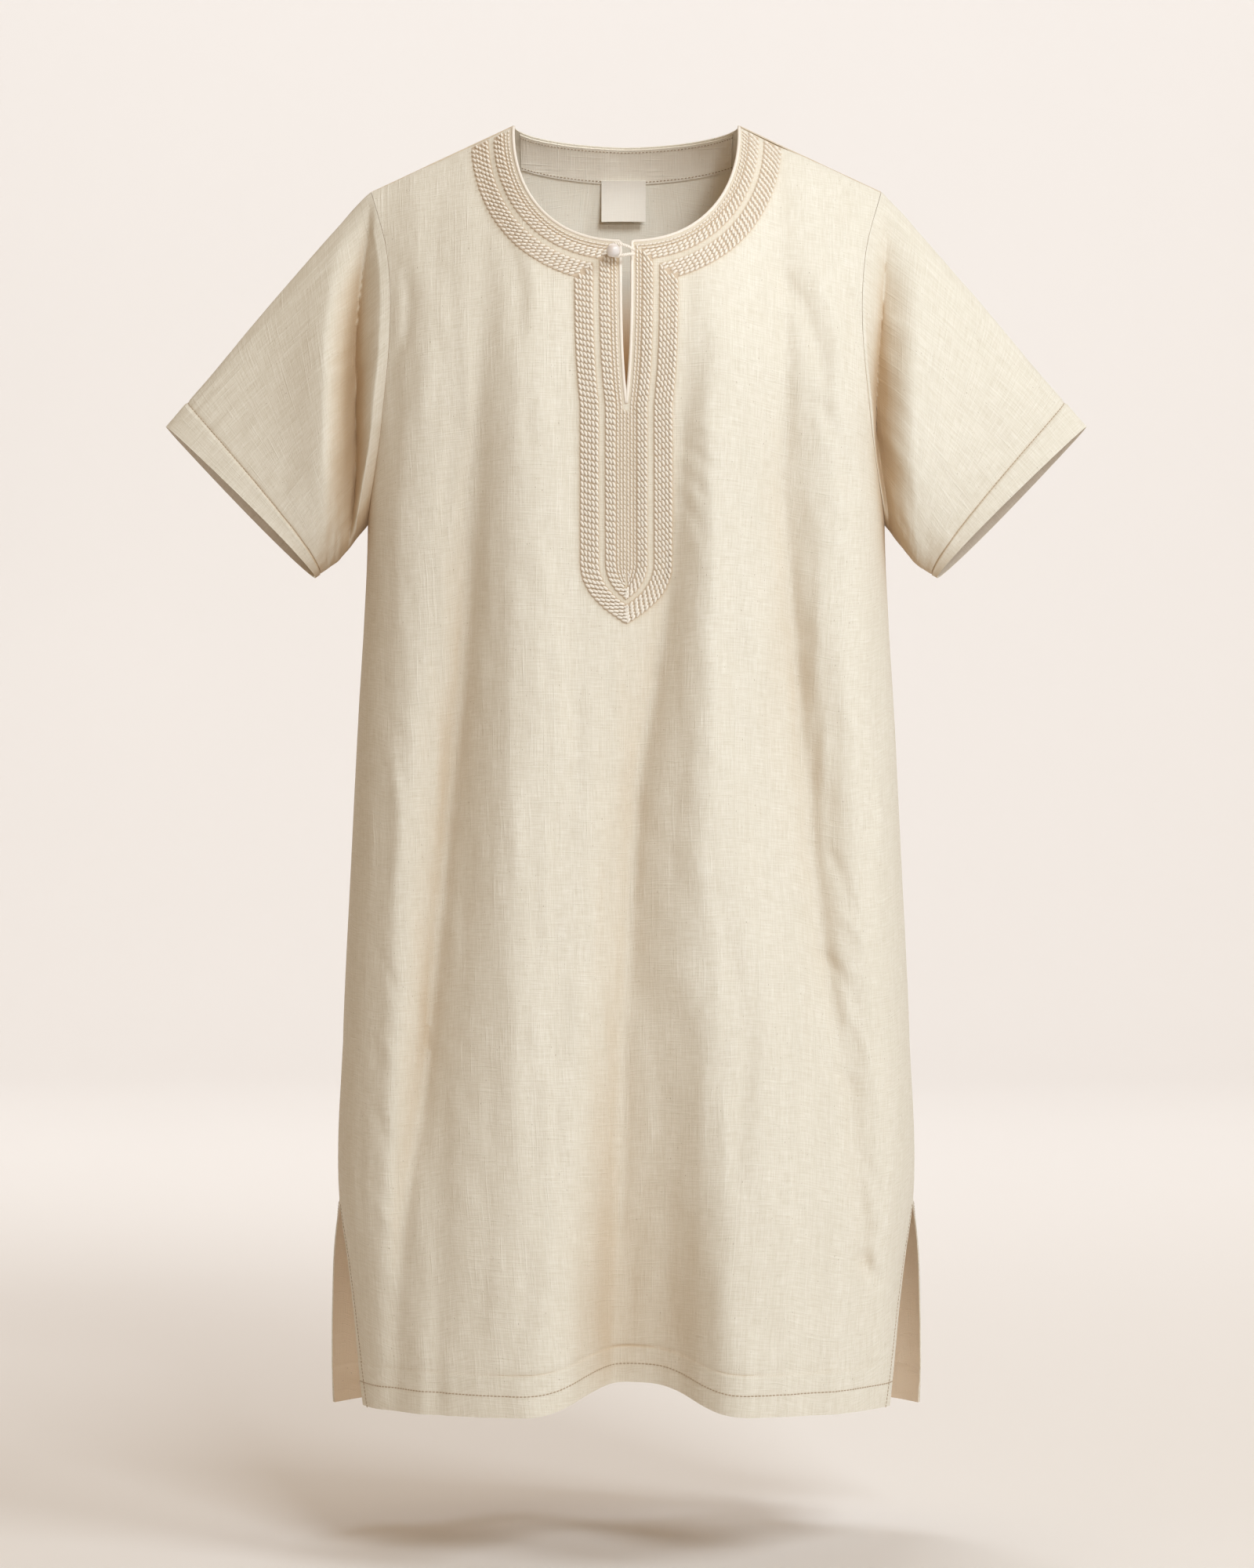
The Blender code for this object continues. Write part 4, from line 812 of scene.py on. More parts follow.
def seed_shape(sides=6, rings=4):
    """Points and faces of a unit seed that lies along its first axis."""
    angles = np.arange(sides) * 2 * pi / sides
    places = np.linspace(0.0, pi, rings + 2)[1:-1]
    points = [(-1.0, 0.0, 0.0)]
    for p in places:
        points += [(-np.cos(p), np.sin(p) ** 0.7 * np.cos(a), np.sin(p) ** 0.7 * np.sin(a)) for a in angles]
    points.append((1.0, 0.0, 0.0))
    faces = []
    for k in range(sides):
        n = (k + 1) % sides
        faces.append((0, 1 + n, 1 + k, 1 + k))
        for r in range(rings - 1):
            a, b = 1 + r * sides, 1 + (r + 1) * sides
            faces.append((a + k, a + n, b + n, b + k))
        last = 1 + (rings - 1) * sides
        faces.append((last + k, last + n, len(points) - 1, len(points) - 1))
    return np.array(points), np.array(faces)


Seeds = namedtuple("Seeds", "centre along out length width height")


def seed_mesh(name, batches, finish):
    """One object from batches of seeds; each seed has a centre, a direction, an up and its sizes."""
    shape, shape_faces = seed_shape()
    points, faces, start = [], [], 0
    for batch in batches:
        along = batch.along / np.linalg.norm(batch.along, axis=1)[:, None]
        aside = np.cross(batch.out, along)
        aside = aside / np.linalg.norm(aside, axis=1)[:, None]
        up = np.cross(along, aside)
        placed = (batch.centre[:, None, :]
                  + along[:, None, :] * shape[None, :, :1] * batch.length / 2
                  + aside[:, None, :] * shape[None, :, 1:2] * batch.width / 2
                  + up[:, None, :] * shape[None, :, 2:3] * batch.height / 2)
        number = len(placed)
        points.append(placed.reshape(-1, 3))
        offset = start + np.arange(number)[:, None, None] * len(shape)
        faces.append((shape_faces[None] + offset).reshape(-1, 4))
        start += number * len(shape)
    faces = [tuple(dict.fromkeys(face)) for face in np.vstack(faces).tolist()]
    mesh = bpy.data.meshes.new(name)
    mesh.from_pydata(np.vstack(points).tolist(), [], faces)
    mesh.materials.append(finish)
    mesh.shade_smooth()
    return linked(name, mesh)


def stitches_along(points, normals, pitch, length, width=0.0007, height=0.0007, rise=0.0001):
    """A row of straight stitches along a line that lies on the cloth."""
    along_line = lengths_along(points)
    wanted = np.arange(pitch / 2, along_line[-1], pitch)
    centre = read_along(points, along_line, wanted)
    out = read_along(normals, along_line, wanted)
    ahead = read_along(points, along_line, np.minimum(wanted + pitch / 3, along_line[-1]))
    behind = read_along(points, along_line, np.maximum(wanted - pitch / 3, 0.0))
    return Seeds(centre + out * rise, ahead - behind, out, length, width, height)


def band_line(distance):
    """x and z of the line at a distance outside the neck and slit, in three stretches."""
    neck = neck_curve(FRONT_NECK_Z, NECK_ROUNDNESS)
    drop = NECK_POINT_Z - FRONT_NECK_Z
    across = (neck[:, 0] / NECK_HALF) ** (NECK_ROUNDNESS - 1) / NECK_HALF
    down = -((NECK_POINT_Z - neck[:, 1]) / drop) ** (NECK_ROUNDNESS - 1) / drop
    size = np.hypot(across, down)
    round_neck = neck + distance * NECK_CLOSENESS * np.column_stack((across / size, down / size))
    below = round_neck[:, 1] < shoulder_z(round_neck[:, 0]) - SHOULDER_MARGIN
    corner_x = SLIT_HALF + distance
    corner_z = np.interp(-corner_x, -round_neck[:, 0], round_neck[:, 1])
    keep = below & (round_neck[:, 0] > corner_x)
    upper = np.vstack((round_neck[keep], (corner_x, corner_z)))
    straight = vertical(lambda z: slit_half(z) + distance, corner_z, ARCH_START_Z)
    tip_z = ARCH_TIP_Z - distance
    u = np.linspace(0.0, 1.0, FINE)[:, None]
    ends = np.array((
        (distance, ARCH_START_Z),
        (distance, (ARCH_START_Z + tip_z) / 2),
        (distance / 2, tip_z + ARCH_SLOPE * distance / 2),
        (0.0, tip_z)))
    arch = ((1 - u)**3 * ends[0] + 3 * (1 - u)**2 * u * ends[1]
            + 3 * (1 - u) * u**2 * ends[2] + u**3 * ends[3])
    return upper, np.vstack((straight, arch[1:]))


def surface_point(surface, x, z, step):
    """Points on a surface over x and z, and its normals towards the viewer."""
    slope_x = (surface(x + step, z) - surface(x - step, z)) / (2 * step)
    slope_z = (surface(x, z + step) - surface(x, z - step)) / (2 * step)
    normal = np.stack((slope_x, -np.ones_like(slope_x), slope_z), axis=-1)
    normal = normal / np.linalg.norm(normal, axis=-1)[..., None]
    return np.stack((x, surface(x, z), z), axis=-1), normal


def front_point(x, z):
    return surface_point(front_y, x, z, 0.0015)


def column_seeds(line, side, pitch, phase, slant, length, width, height, rng):
    """Slanted seeds along one column of embroidery, given in x and z on the right."""
    along_line = lengths_along(line)
    wanted = np.arange(pitch * (0.5 + phase), along_line[-1], pitch)
    wanted = np.clip(wanted + rng.uniform(-0.06, 0.06, len(wanted)) * pitch, 0.0, along_line[-1])
    flat = read_along(line, along_line, wanted)
    ahead = read_along(line, along_line, np.minimum(wanted + 0.001, along_line[-1]))
    behind = read_along(line, along_line, np.maximum(wanted - 0.001, 0.0))
    flow = ahead - behind
    flow = flow / np.linalg.norm(flow, axis=1)[:, None] * (side, 1.0)
    flat = flat * (side, 1.0)
    turn = radians(slant) + rng.uniform(-0.12, 0.12, len(wanted))
    flow = np.column_stack((flow[:, 0] * np.cos(turn) - flow[:, 1] * np.sin(turn),
                            flow[:, 0] * np.sin(turn) + flow[:, 1] * np.cos(turn)))
    centre, out = front_point(flat[:, 0], flat[:, 1])
    along = np.column_stack((flow[:, 0], np.zeros(len(flow)), flow[:, 1]))
    along = along - out * np.sum(along * out, axis=1)[:, None]
    return Seeds(centre + out * height * 0.25, along, out, length, width, height)


BandColumn = namedtuple("BandColumn", "distance pitch slant length width height")
OUTER_COLUMNS = [BandColumn(0.0233 + 0.0029 * k, 0.0045, 26, 0.0049, 0.0022, 0.0032) for k in range(5)]
INNER_COLUMNS = [BandColumn(0.0098 + 0.0027 * k, 0.0045, 26, 0.0049, 0.0021, 0.0032) for k in range(3)]
CHAIN_COLUMNS = [BandColumn(0.0040 + 0.0027 * k, 0.0034, 12, 0.0036, 0.0016, 0.0016) for k in range(2)]
CENTRE_X = 0.0014
COLUMN_STEP = 0.38          # how far each column's stitches are shifted from its neighbour's, in pitches


GROUND_RISE, GROUND_THICKNESS = 0.0003, 0.0002


def painted_shade_strip(name, inner, outer, finish):
    """The sunk ground under a band's stitches, whose dark finish is painted shade between them: a thin
    strip made from the front's own points.
    """
    distances = np.linspace(inner, outer, 7)
    pieces = []
    for part in (0, 1):
        lines = []
        for distance in distances:
            line = band_line(distance)[part]
            length = lengths_along(line)
            lines.append(read_along(line, length, np.linspace(0.0, length[-1], 160 if part else 80)))
        flat = np.array(lines)
        for side in (-1, 1):
            points, normals = front_point(flat[..., 0] * side, flat[..., 1])
            points = points + normals * GROUND_RISE
            index = np.arange(points[..., 0].size).reshape(points.shape[:2])
            faces = grid_faces(index)
            if side > 0:
                faces = faces[:, ::-1]
            uv = flat.reshape(-1, 2) * (side, 1.0)
            pieces.append(shell(f"{name}_{part}_{side}", points.reshape(-1, 3), normals.reshape(-1, 3),
                                faces, uv, GROUND_THICKNESS, [finish, finish]))
    return joined(name, pieces)


def joined(name, pieces):
    bpy.ops.object.select_all(action="DESELECT")
    for piece in pieces:
        piece.select_set(True)
    bpy.context.view_layer.objects.active = pieces[0]
    bpy.ops.object.join()
    pieces[0].name = name
    return pieces[0]


def centre_fill(rng):
    """The innermost lines of chain stitch, below the slit."""
    z = np.linspace(SLIT_END_Z - 0.004, ARCH_TIP_Z, 80)
    line = np.column_stack((np.full_like(z, CENTRE_X), z))
    col = CHAIN_COLUMNS[0]
    return [column_seeds(line, side, col.pitch, 0.3 * (side > 0), col.slant, col.length, col.width,
                         col.height, rng) for side in (-1, 1)]


def add_columns(name, columns, finish, fill_centre=False):
    rng = np.random.default_rng(5)
    batches = centre_fill(rng) if fill_centre else []
    for number, col in enumerate(columns):
        for stretch in band_line(col.distance):
            for side in (-1, 1):
                batches.append(column_seeds(stretch, side, col.pitch, COLUMN_STEP * number % 1.0, col.slant,
                                            col.length, col.width, col.height, rng))
    return seed_mesh(name, batches, finish)


def tube(name, path, radius, sides, finish, flat=1.0):
    """A closed round bar along a path of 3-D points."""
    path = np.asarray(path)
    tangent = np.gradient(path, axis=0)
    tangent = tangent / np.linalg.norm(tangent, axis=1)[:, None]
    aside = np.cross(tangent, (0.0, -1.0, 0.0))
    aside = aside / np.maximum(np.linalg.norm(aside, axis=1), 1e-9)[:, None]
    up = np.cross(aside, tangent)
    angles = np.arange(sides) * 2 * pi / sides
    radius = np.broadcast_to(radius, len(path))
    rings = (path[:, None] + (aside[:, None] * np.cos(angles)[None, :, None]
             + up[:, None] * np.sin(angles)[None, :, None] * flat) * radius[:, None, None])
    index = np.arange(len(path) * sides).reshape(len(path), sides)
    faces = grid_faces(np.column_stack((index, index[:, :1]))).tolist()
    faces += [index[0].tolist(), index[-1, ::-1].tolist()]
    mesh = bpy.data.meshes.new(name)
    mesh.from_pydata(rings.reshape(-1, 3).tolist(), [], faces)
    mesh.materials.append(finish)
    mesh.shade_smooth()
    return linked(name, mesh)


# Materials

class Nodes:
    """A material's node tree, with a short way to add and link nodes."""

    def __init__(self, name, roughness):
        self.material = bpy.data.materials.new(name)
        self.material.use_nodes = True
        self.tree = self.material.node_tree
        self.shader = self.tree.nodes["Principled BSDF"]
        self.shader.inputs["Roughness"].default_value = roughness

    def add(self, kind, inputs=(), **settings):
        node = self.tree.nodes.new("ShaderNode" + kind)
        for key, value in settings.items():
            setattr(node, key, value)
        for key, value in dict(inputs).items():
            if isinstance(value, bpy.types.NodeSocket):
                self.tree.links.new(value, node.inputs[key])
            else:
                node.inputs[key].default_value = value
        return node

    def noise(self, where, scale, detail=2.0, rough=0.5):
        """Noise over cloth coordinates; scale is the size of a feature across and down, in metres."""
        mapped = self.add("Mapping", {"Vector": where, "Scale": tuple(1.0 / s for s in scale)})
        made = self.add("TexNoise", {"Vector": mapped.outputs[0], "Scale": 1.0, "Detail": detail,
                                     "Roughness": rough}, noise_dimensions="3D")
        return made.outputs["Fac"]

    def ramp(self, value, low, high):
        return self.add("MapRange", {"Value": value, "From Min": low, "From Max": high}).outputs[0]

    def math(self, operation, a, b):
        return self.add("Math", {0: a, 1: b}, operation=operation).outputs[0]

    def mix(self, factor, a, b):
        made = self.add("Mix", {"Factor": factor}, data_type="RGBA")
        for socket, value in ((made.inputs[6], a), (made.inputs[7], b)):
            if isinstance(value, bpy.types.NodeSocket):
                self.tree.links.new(value, socket)
            else:
                socket.default_value = (*value, 1.0)
        return made.outputs[2]


# Two tints painted into the base colour stand in for light and shade: a painted glow by height inside, and
# painted shade in the folds outside
GLOW_TOP, GLOW_FULL = -0.090, -0.150    # heights between which a painted warm glow, darker than lit cloth, fills the inside
PALER_FROM, PALER_AT = -0.220, -0.300   # and the painted glow pales again towards the open cuffs and vents
PALE_GLOW = (0.96, 0.82, 0.65)
FOLD_REACH, FOLD_SAMPLES = 0.15, 6       # how far round a place the folds count as close
FOLD_OPENNESS, FOLD_SHADE_AMOUNT = (0.93, 0.50), 0.85
FOLD_SHADE_COLOUR = (0.52, 0.36, 0.20)        # painted shade, mixed in where an occlusion node finds cloth close by


def linen(name, colour, dark, fleck=0.5, bump_size=0.0004, glow=None, folds=0.0):
    """Plain-woven linen: uneven warp and weft threads, slubs, cloudy tone and small dark flecks.

    With a glow, the cloth turns to that colour low down: a painted glow in place of light that comes
    through it. With folds, painted shade darkens it where an occlusion node finds cloth close by.
    """
    n = Nodes(name, 0.88)
    n.shader.inputs["Sheen Weight"].default_value = 0.12
    n.shader.inputs["Sheen Roughness"].default_value = 0.45
    n.shader.inputs["Specular IOR Level"].default_value = 0.25
    where = n.add("UVMap", uv_map="Cloth").outputs[0]
    warp = n.noise(where, (0.0010, 0.016, 1.0), 3.0, 0.6)
    weft = n.noise(where, (0.016, 0.0010, 1.0), 3.0, 0.6)
    slub_down = n.ramp(n.noise(where, (0.0017, 0.060, 1.0), 2.0), 0.56, 0.74)
    slub_across = n.ramp(n.noise(where, (0.050, 0.0017, 1.0), 2.0), 0.58, 0.76)
    cloud = n.noise(where, (0.030, 0.090, 1.0), 3.0)
    threads = n.math("ADD", warp, weft)
    slubs = n.math("ADD", slub_down, slub_across)
    speck = n.ramp(n.noise(where, (0.0011, 0.0030, 1.0), 1.0), 0.735, 0.78)
    upright = n.ramp(n.noise(where, (0.0042, 0.110, 1.0), 3.0, 0.6), 0.48, 0.72)
    tone = n.mix(n.ramp(threads, 0.70, 1.30), dark, colour)
    lighter = tuple(min(1.0, c * 1.05) for c in colour)
    tone = n.mix(n.math("MULTIPLY", slubs, 0.35), tone, lighter)
    tone = n.mix(n.math("MULTIPLY", n.ramp(cloud, 0.35, 0.75), 0.25), tone, dark)
    tone = n.mix(n.math("MULTIPLY", upright, 0.35), tone, dark)
    if glow is not None:
        # painted glow: warmer and darker low down, paler again near the openings
        place = n.add("SeparateXYZ", {0: n.add("TexCoord").outputs["Object"]})
        tone = n.mix(n.ramp(place.outputs[2], GLOW_TOP, GLOW_FULL), tone, glow)
        tone = n.mix(n.ramp(place.outputs[2], PALER_FROM, PALER_AT), tone, PALE_GLOW)
    tone = n.mix(n.math("MULTIPLY", speck, fleck), tone, (0.20, 0.13, 0.07))
    if folds > 0.0:
        # painted shade: darker and warmer where folds are close by
        openness = n.add("AmbientOcclusion", {"Distance": FOLD_REACH}, samples=FOLD_SAMPLES).outputs["AO"]
        tone = n.mix(n.math("MULTIPLY", n.ramp(openness, *FOLD_OPENNESS), folds), tone, FOLD_SHADE_COLOUR)
    n.tree.links.new(tone, n.shader.inputs["Base Color"])
    height = n.math("ADD", threads, n.math("MULTIPLY", slubs, 0.8))
    raised = n.add("Bump", {"Height": height, "Distance": bump_size, "Strength": 0.6})
    n.tree.links.new(raised.outputs[0], n.shader.inputs["Normal"])
    return n.material


def thread(name, colour, dark):
    """Soft twisted embroidery thread."""
    n = Nodes(name, 0.7)
    n.shader.inputs["Sheen Weight"].default_value = 0.15
    n.shader.inputs["Specular IOR Level"].default_value = 0.35
    where = n.add("TexCoord").outputs["Object"]
    fibre = n.noise(where, (0.0007, 0.0007, 0.0007), 3.0)
    patch = n.noise(where, (0.012, 0.012, 0.012), 2.0)
    tone = n.mix(n.ramp(fibre, 0.3, 0.7), dark, colour)
    tone = n.mix(n.math("MULTIPLY", n.ramp(patch, 0.4, 0.7), 0.3), tone, dark)
    n.tree.links.new(tone, n.shader.inputs["Base Color"])
    raised = n.add("Bump", {"Height": fibre, "Distance": 0.0002, "Strength": 0.5})
    n.tree.links.new(raised.outputs[0], n.shader.inputs["Normal"])
    return n.material


def pearl():
    n = Nodes("pearl_button", 0.28)
    n.shader.inputs["Coat Weight"].default_value = 0.5
    n.shader.inputs["Coat Roughness"].default_value = 0.15
    n.shader.inputs["Sheen Weight"].default_value = 0.3
    where = n.add("TexCoord").outputs["Object"]
    swirl = n.noise(where, (0.006, 0.006, 0.006), 2.0)
    tone = n.mix(n.ramp(swirl, 0.35, 0.65), (0.82, 0.74, 0.69), (0.74, 0.72, 0.73))
    n.tree.links.new(tone, n.shader.inputs["Base Color"])
    return n.material


def plaster(name, colour):
    n = Nodes(name, 0.95)
    n.shader.inputs["Specular IOR Level"].default_value = 0.1
    where = n.add("TexCoord").outputs["Object"]
    patch = n.noise(where, (0.9, 0.9, 0.9), 2.0)
    tone = n.mix(patch, tuple(c * 0.985 for c in colour), colour)
    n.tree.links.new(tone, n.shader.inputs["Base Color"])
    return n.material


LINEN = (0.89, 0.88, 0.82)
LINEN_DARK = (0.72, 0.69, 0.60)
# the outside linen carries painted shade in its folds
outside_linen = linen("linen_outside", LINEN, LINEN_DARK, folds=FOLD_SHADE_AMOUNT)
# the inside linen is lighter than the outside as painted light, and carries the painted glow
inside_linen_painted_light = linen("linen_inside", (0.97, 0.95, 0.87), (0.91, 0.87, 0.77), glow=(0.88, 0.58, 0.33))
# the facing linen is lighter than the outside linen: painted light
facing_linen_painted_light = linen("linen_facing", (0.97, 0.94, 0.86), (0.90, 0.85, 0.76), fleck=0.2)
label_cloth = linen("label_cloth", (0.95, 0.93, 0.88), (0.92, 0.89, 0.83), fleck=0.0, bump_size=0.0001)
embroidery_thread = thread("embroidery_thread", (0.95, 0.93, 0.89), (0.86, 0.81, 0.73))
sewing_thread = thread("sewing_thread", (0.50, 0.42, 0.32), (0.38, 0.30, 0.22))
piping_thread = thread("piping_thread", (0.92, 0.89, 0.84), (0.82, 0.77, 0.70))
# a darker, warmer copy of the linen under the embroidery: painted shade between the stitches
band_painted_shade = linen("painted_shade_strip", (0.70, 0.60, 0.48), (0.56, 0.46, 0.36), fleck=0.0, bump_size=0.0002)

# The cloth
# darker and warmer than the outside linen: painted shade inside the sleeves
sleeve_inside_painted_shade = linen("linen_sleeve_inside", (0.86, 0.80, 0.72), (0.76, 0.69, 0.60))
front = add_panel("front", [outside_linen, inside_linen_painted_light])
back = add_panel("back", [outside_linen, inside_linen_painted_light])
sleeves = {}
for side, name in ((-1, "sleeve_left"), (1, "sleeve_right")):
    halves = (front.left, back.left) if side < 0 else (front.right, back.right)
    sleeves[name] = add_sleeve(side, name + "_cloth", *halves, [outside_linen, sleeve_inside_painted_shade])

# Hem, vent and cuff stitching
STITCH_PITCH, STITCH_LENGTH = 0.0030, 0.0024
stitch_batches = []
hem_row = -6
vent_row = PANEL_ROWS.neck + PANEL_ROWS.slit + PANEL_ROWS.side
vent_column = -1 - EDGE_COLUMNS.index(VENT_STITCH)
for panel in (front, back):
    for half in (panel.left, panel.right):
        stitch_batches.append(stitches_along(half.points[hem_row], half.normals[hem_row],
                                             STITCH_PITCH, STITCH_LENGTH))
        stitch_batches.append(stitches_along(half.points[vent_row:, vent_column],
                                             half.normals[vent_row:, vent_column],
                                             STITCH_PITCH, STITCH_LENGTH))
for sleeve in sleeves.values():
    line = np.vstack((sleeve.points[sleeve.stitch_row], sleeve.points[sleeve.stitch_row, :1]))
    out = np.vstack((sleeve.normals[sleeve.stitch_row], sleeve.normals[sleeve.stitch_row, :1]))
    stitch_batches.append(stitches_along(line, out, STITCH_PITCH, STITCH_LENGTH))
topstitching = seed_mesh("topstitching", stitch_batches, sewing_thread)

# Embroidery
outer_band = add_columns("outer_band_stitches", OUTER_COLUMNS, embroidery_thread)
inner_band = add_columns("inner_band_stitches", INNER_COLUMNS, embroidery_thread)
chain_lines = add_columns("chain_stitches", CHAIN_COLUMNS, piping_thread, fill_centre=True)
# dark strips under the bands: painted shade in the gaps between the stitches
outer_painted_shade = painted_shade_strip("outer_band_ground", 0.0218, 0.0364, band_painted_shade)
inner_painted_shade = painted_shade_strip("inner_band_ground", 0.0080, 0.0166, band_painted_shade)

PIPING_RADIUS = 0.0013
edge_right = np.vstack((neck_curve(FRONT_NECK_Z, NECK_ROUNDNESS, SLIT_HALF),
                        vertical(slit_half, FRONT_NECK_Z, SLIT_END_Z)))
edge_line = np.vstack((edge_right, edge_right[-2::-1] * (-1.0, 1.0)))
edge_line = read_along(edge_line, lengths_along(edge_line),
                       np.arange(0.001, lengths_along(edge_line)[-1], 0.0025))
edge_points, edge_normals = front_point(edge_line[:, 0], edge_line[:, 1])
piping = tube("neck_piping", edge_points, PIPING_RADIUS, 8, piping_thread, flat=0.8)

# Back neck facing and label
FACING_DEPTH, FACING_INSET, FACING_END_INSET = 0.0268, 0.0010, 0.004


def inner_back(x, z):
    """Points on the inside of the back, and the normals that point into the garment."""
    points, normal = surface_point(back_y, x, z, 0.002)
    return points + normal * CLOTH, normal


def back_neck_z(x):
    depth = 1.0 - (np.abs(x) / NECK_HALF) ** BACK_NECK_ROUNDNESS
    return NECK_POINT_Z - (NECK_POINT_Z - BACK_NECK_Z) * depth ** (1 / BACK_NECK_ROUNDNESS)


def add_facing():
    half = NECK_HALF - FACING_END_INSET
    x = np.linspace(-half, half, 73)[None, :].repeat(15, axis=0)
    down = np.linspace(0.0, 1.0, 15)[:, None]
    z = back_neck_z(x) - FACING_INSET - down * (FACING_DEPTH - 0.003 * (np.abs(x) / half) ** 2)
    points, normals = inner_back(x, z)
    points = points + normals * 0.0011
    index = np.arange(x.size).reshape(x.shape)
    uv = np.stack((x + 0.5, z), axis=-1).reshape(-1, 2)
    made = shell("back_neck_facing_cloth", points.reshape(-1, 3), normals.reshape(-1, 3), grid_faces(index),
                 uv, 0.0009, [facing_linen_painted_light, facing_linen_painted_light])
    return made, points, normals


facing, facing_points, facing_normals = add_facing()
facing_stitch = seed_mesh("facing_stitches", [
    stitches_along(facing_points[row], facing_normals[row], 0.0030, 0.0019, 0.0009, 0.0009)
    for row in (1, -2)], sewing_thread)

LABEL_WIDTH, LABEL_HEIGHT, LABEL_X, LABEL_STAND_OFF = 0.037, 0.0335, -0.0023, 0.008


def add_label():
    cells = 16
    u = np.linspace(-0.5, 0.5, cells + 1)[None, :]
    v = np.linspace(0.0, 1.0, cells + 1)[:, None]
    x = LABEL_X + LABEL_WIDTH * u + 0 * v
    z = back_neck_z(LABEL_X) - FACING_INSET - FACING_DEPTH + 0.002 - LABEL_HEIGHT * v + 0 * u
    points, normals = inner_back(x, z)
    y = points[..., 1].min(axis=1, keepdims=True) - 0.003 - LABEL_STAND_OFF * v**1.5
    y = y + 0.0012 * (u * 2) ** 2 * v
    points = np.stack((x, y + 0 * x, z), axis=-1)
    index = np.arange(x.size).reshape(x.shape)
    faces = grid_faces(index)
    flat = points.reshape(-1, 3)
    uv = np.stack((x, z), axis=-1).reshape(-1, 2)
    return shell("neck_label_cloth", flat, sheet_normals(flat, faces), faces, uv, 0.0006,
                 [label_cloth, label_cloth])


label = add_label()

# Button and loop
BUTTON_RADIUS = 0.0055
BUTTON_X, BUTTON_Z = -0.0102, -0.0885
button_low, button_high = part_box("button")
button_y = button_low[1] + BUTTON_RADIUS
POLE_MERGE = 0.00001


def add_button():
    mesh = bpy.data.meshes.new("ball_button")
    made = linked("ball_button", mesh)
    sides, rings = 40, 24
    points = []
    for k in range(rings + 1):
        a = pi * k / rings
        for s in range(sides):
            t = 2 * pi * s / sides
            points.append((BUTTON_X + BUTTON_RADIUS * np.sin(a) * np.cos(t),
                           button_y - BUTTON_RADIUS * np.cos(a),
                           BUTTON_Z + BUTTON_RADIUS * np.sin(a) * np.sin(t)))
    index = np.arange(len(points)).reshape(rings + 1, sides)
    faces = grid_faces(np.column_stack((index, index[:, :1])))
    mesh.from_pydata(points, [], faces.tolist())
    merged = bmesh.new()
    merged.from_mesh(mesh)
    bmesh.ops.remove_doubles(merged, verts=merged.verts, dist=POLE_MERGE)
    merged.to_mesh(mesh)
    merged.free()
    mesh.materials.append(pearl())
    mesh.shade_smooth()
    return made


button = add_button()


LOOP_TWIST, PLY_RADIUS = 0.00060, 0.00080


def add_loop():
    """Two plies of thread twisted together, from the right edge of the slit round the button's foot."""
    foot_y = button_y + 0.004
    keys = np.array((
        (0.0064, foot_y + 0.001, BUTTON_Z - 0.0020),
        (0.0030, foot_y - 0.001, BUTTON_Z - 0.0026),
        (-0.0020, foot_y - 0.003, BUTTON_Z - 0.0036),
        (-0.0080, foot_y - 0.001, BUTTON_Z - 0.0042),
        (-0.0135, foot_y, BUTTON_Z - 0.0020),
        (-0.0140, foot_y, BUTTON_Z + 0.0010),
        (-0.0105, foot_y - 0.003, BUTTON_Z + 0.0052),
        (-0.0050, foot_y - 0.0045, BUTTON_Z + 0.0050),
        (0.0010, foot_y - 0.003, BUTTON_Z + 0.0034),
        (0.0064, foot_y + 0.001, BUTTON_Z + 0.0012),
    ))
    t = np.linspace(0.0, 1.0, 160)
    knots = np.linspace(0.0, 1.0, len(keys))
    path = np.column_stack([through(knots, keys[:, k], t) for k in range(3)])
    pieces = []
    for ply in (0, 1):
        angle = ply * pi + t * 2 * pi * 14
        around = np.column_stack((np.zeros_like(t), np.cos(angle), np.sin(angle))) * LOOP_TWIST
        pieces.append(tube(f"loop_ply_{ply}", path + around, PLY_RADIUS, 8, piping_thread))
    return joined("button_loop_thread", pieces)


loop = add_loop()

# What stands for which solid
for piece, node, slot_name in (
        (front.made, "front", "linen"), (back.made, "back", "linen"),
        (sleeves["sleeve_left"].made, "sleeve_left", "linen"),
        (sleeves["sleeve_right"].made, "sleeve_right", "linen"),
        (facing, "back_neck_facing", "facing"), (label, "neck_label", "label"),
        (outer_band, "embroidery_outer_band", "embroidery"),
        (inner_band, "embroidery_inner_band", "embroidery"),
        (button, "button", "button"), (loop, "button_loop", "embroidery")):
    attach(piece, "root")
    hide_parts(node)
for piece, slot_name in ((chain_lines, "embroidery"), (piping, "embroidery"),
                         (outer_painted_shade, "embroidery"), (inner_painted_shade, "embroidery"),
                         (topstitching, "linen"), (facing_stitch, "facing")):
    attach(piece, "root")

# Studio
FLOOR_Z = -1.13
FLOOR_FRONT, CURVE_START, CURVE_RADIUS, WALL_TOP, STUDIO_HALF = -5.0, 5.0, 3.0, 8.0, 5.0


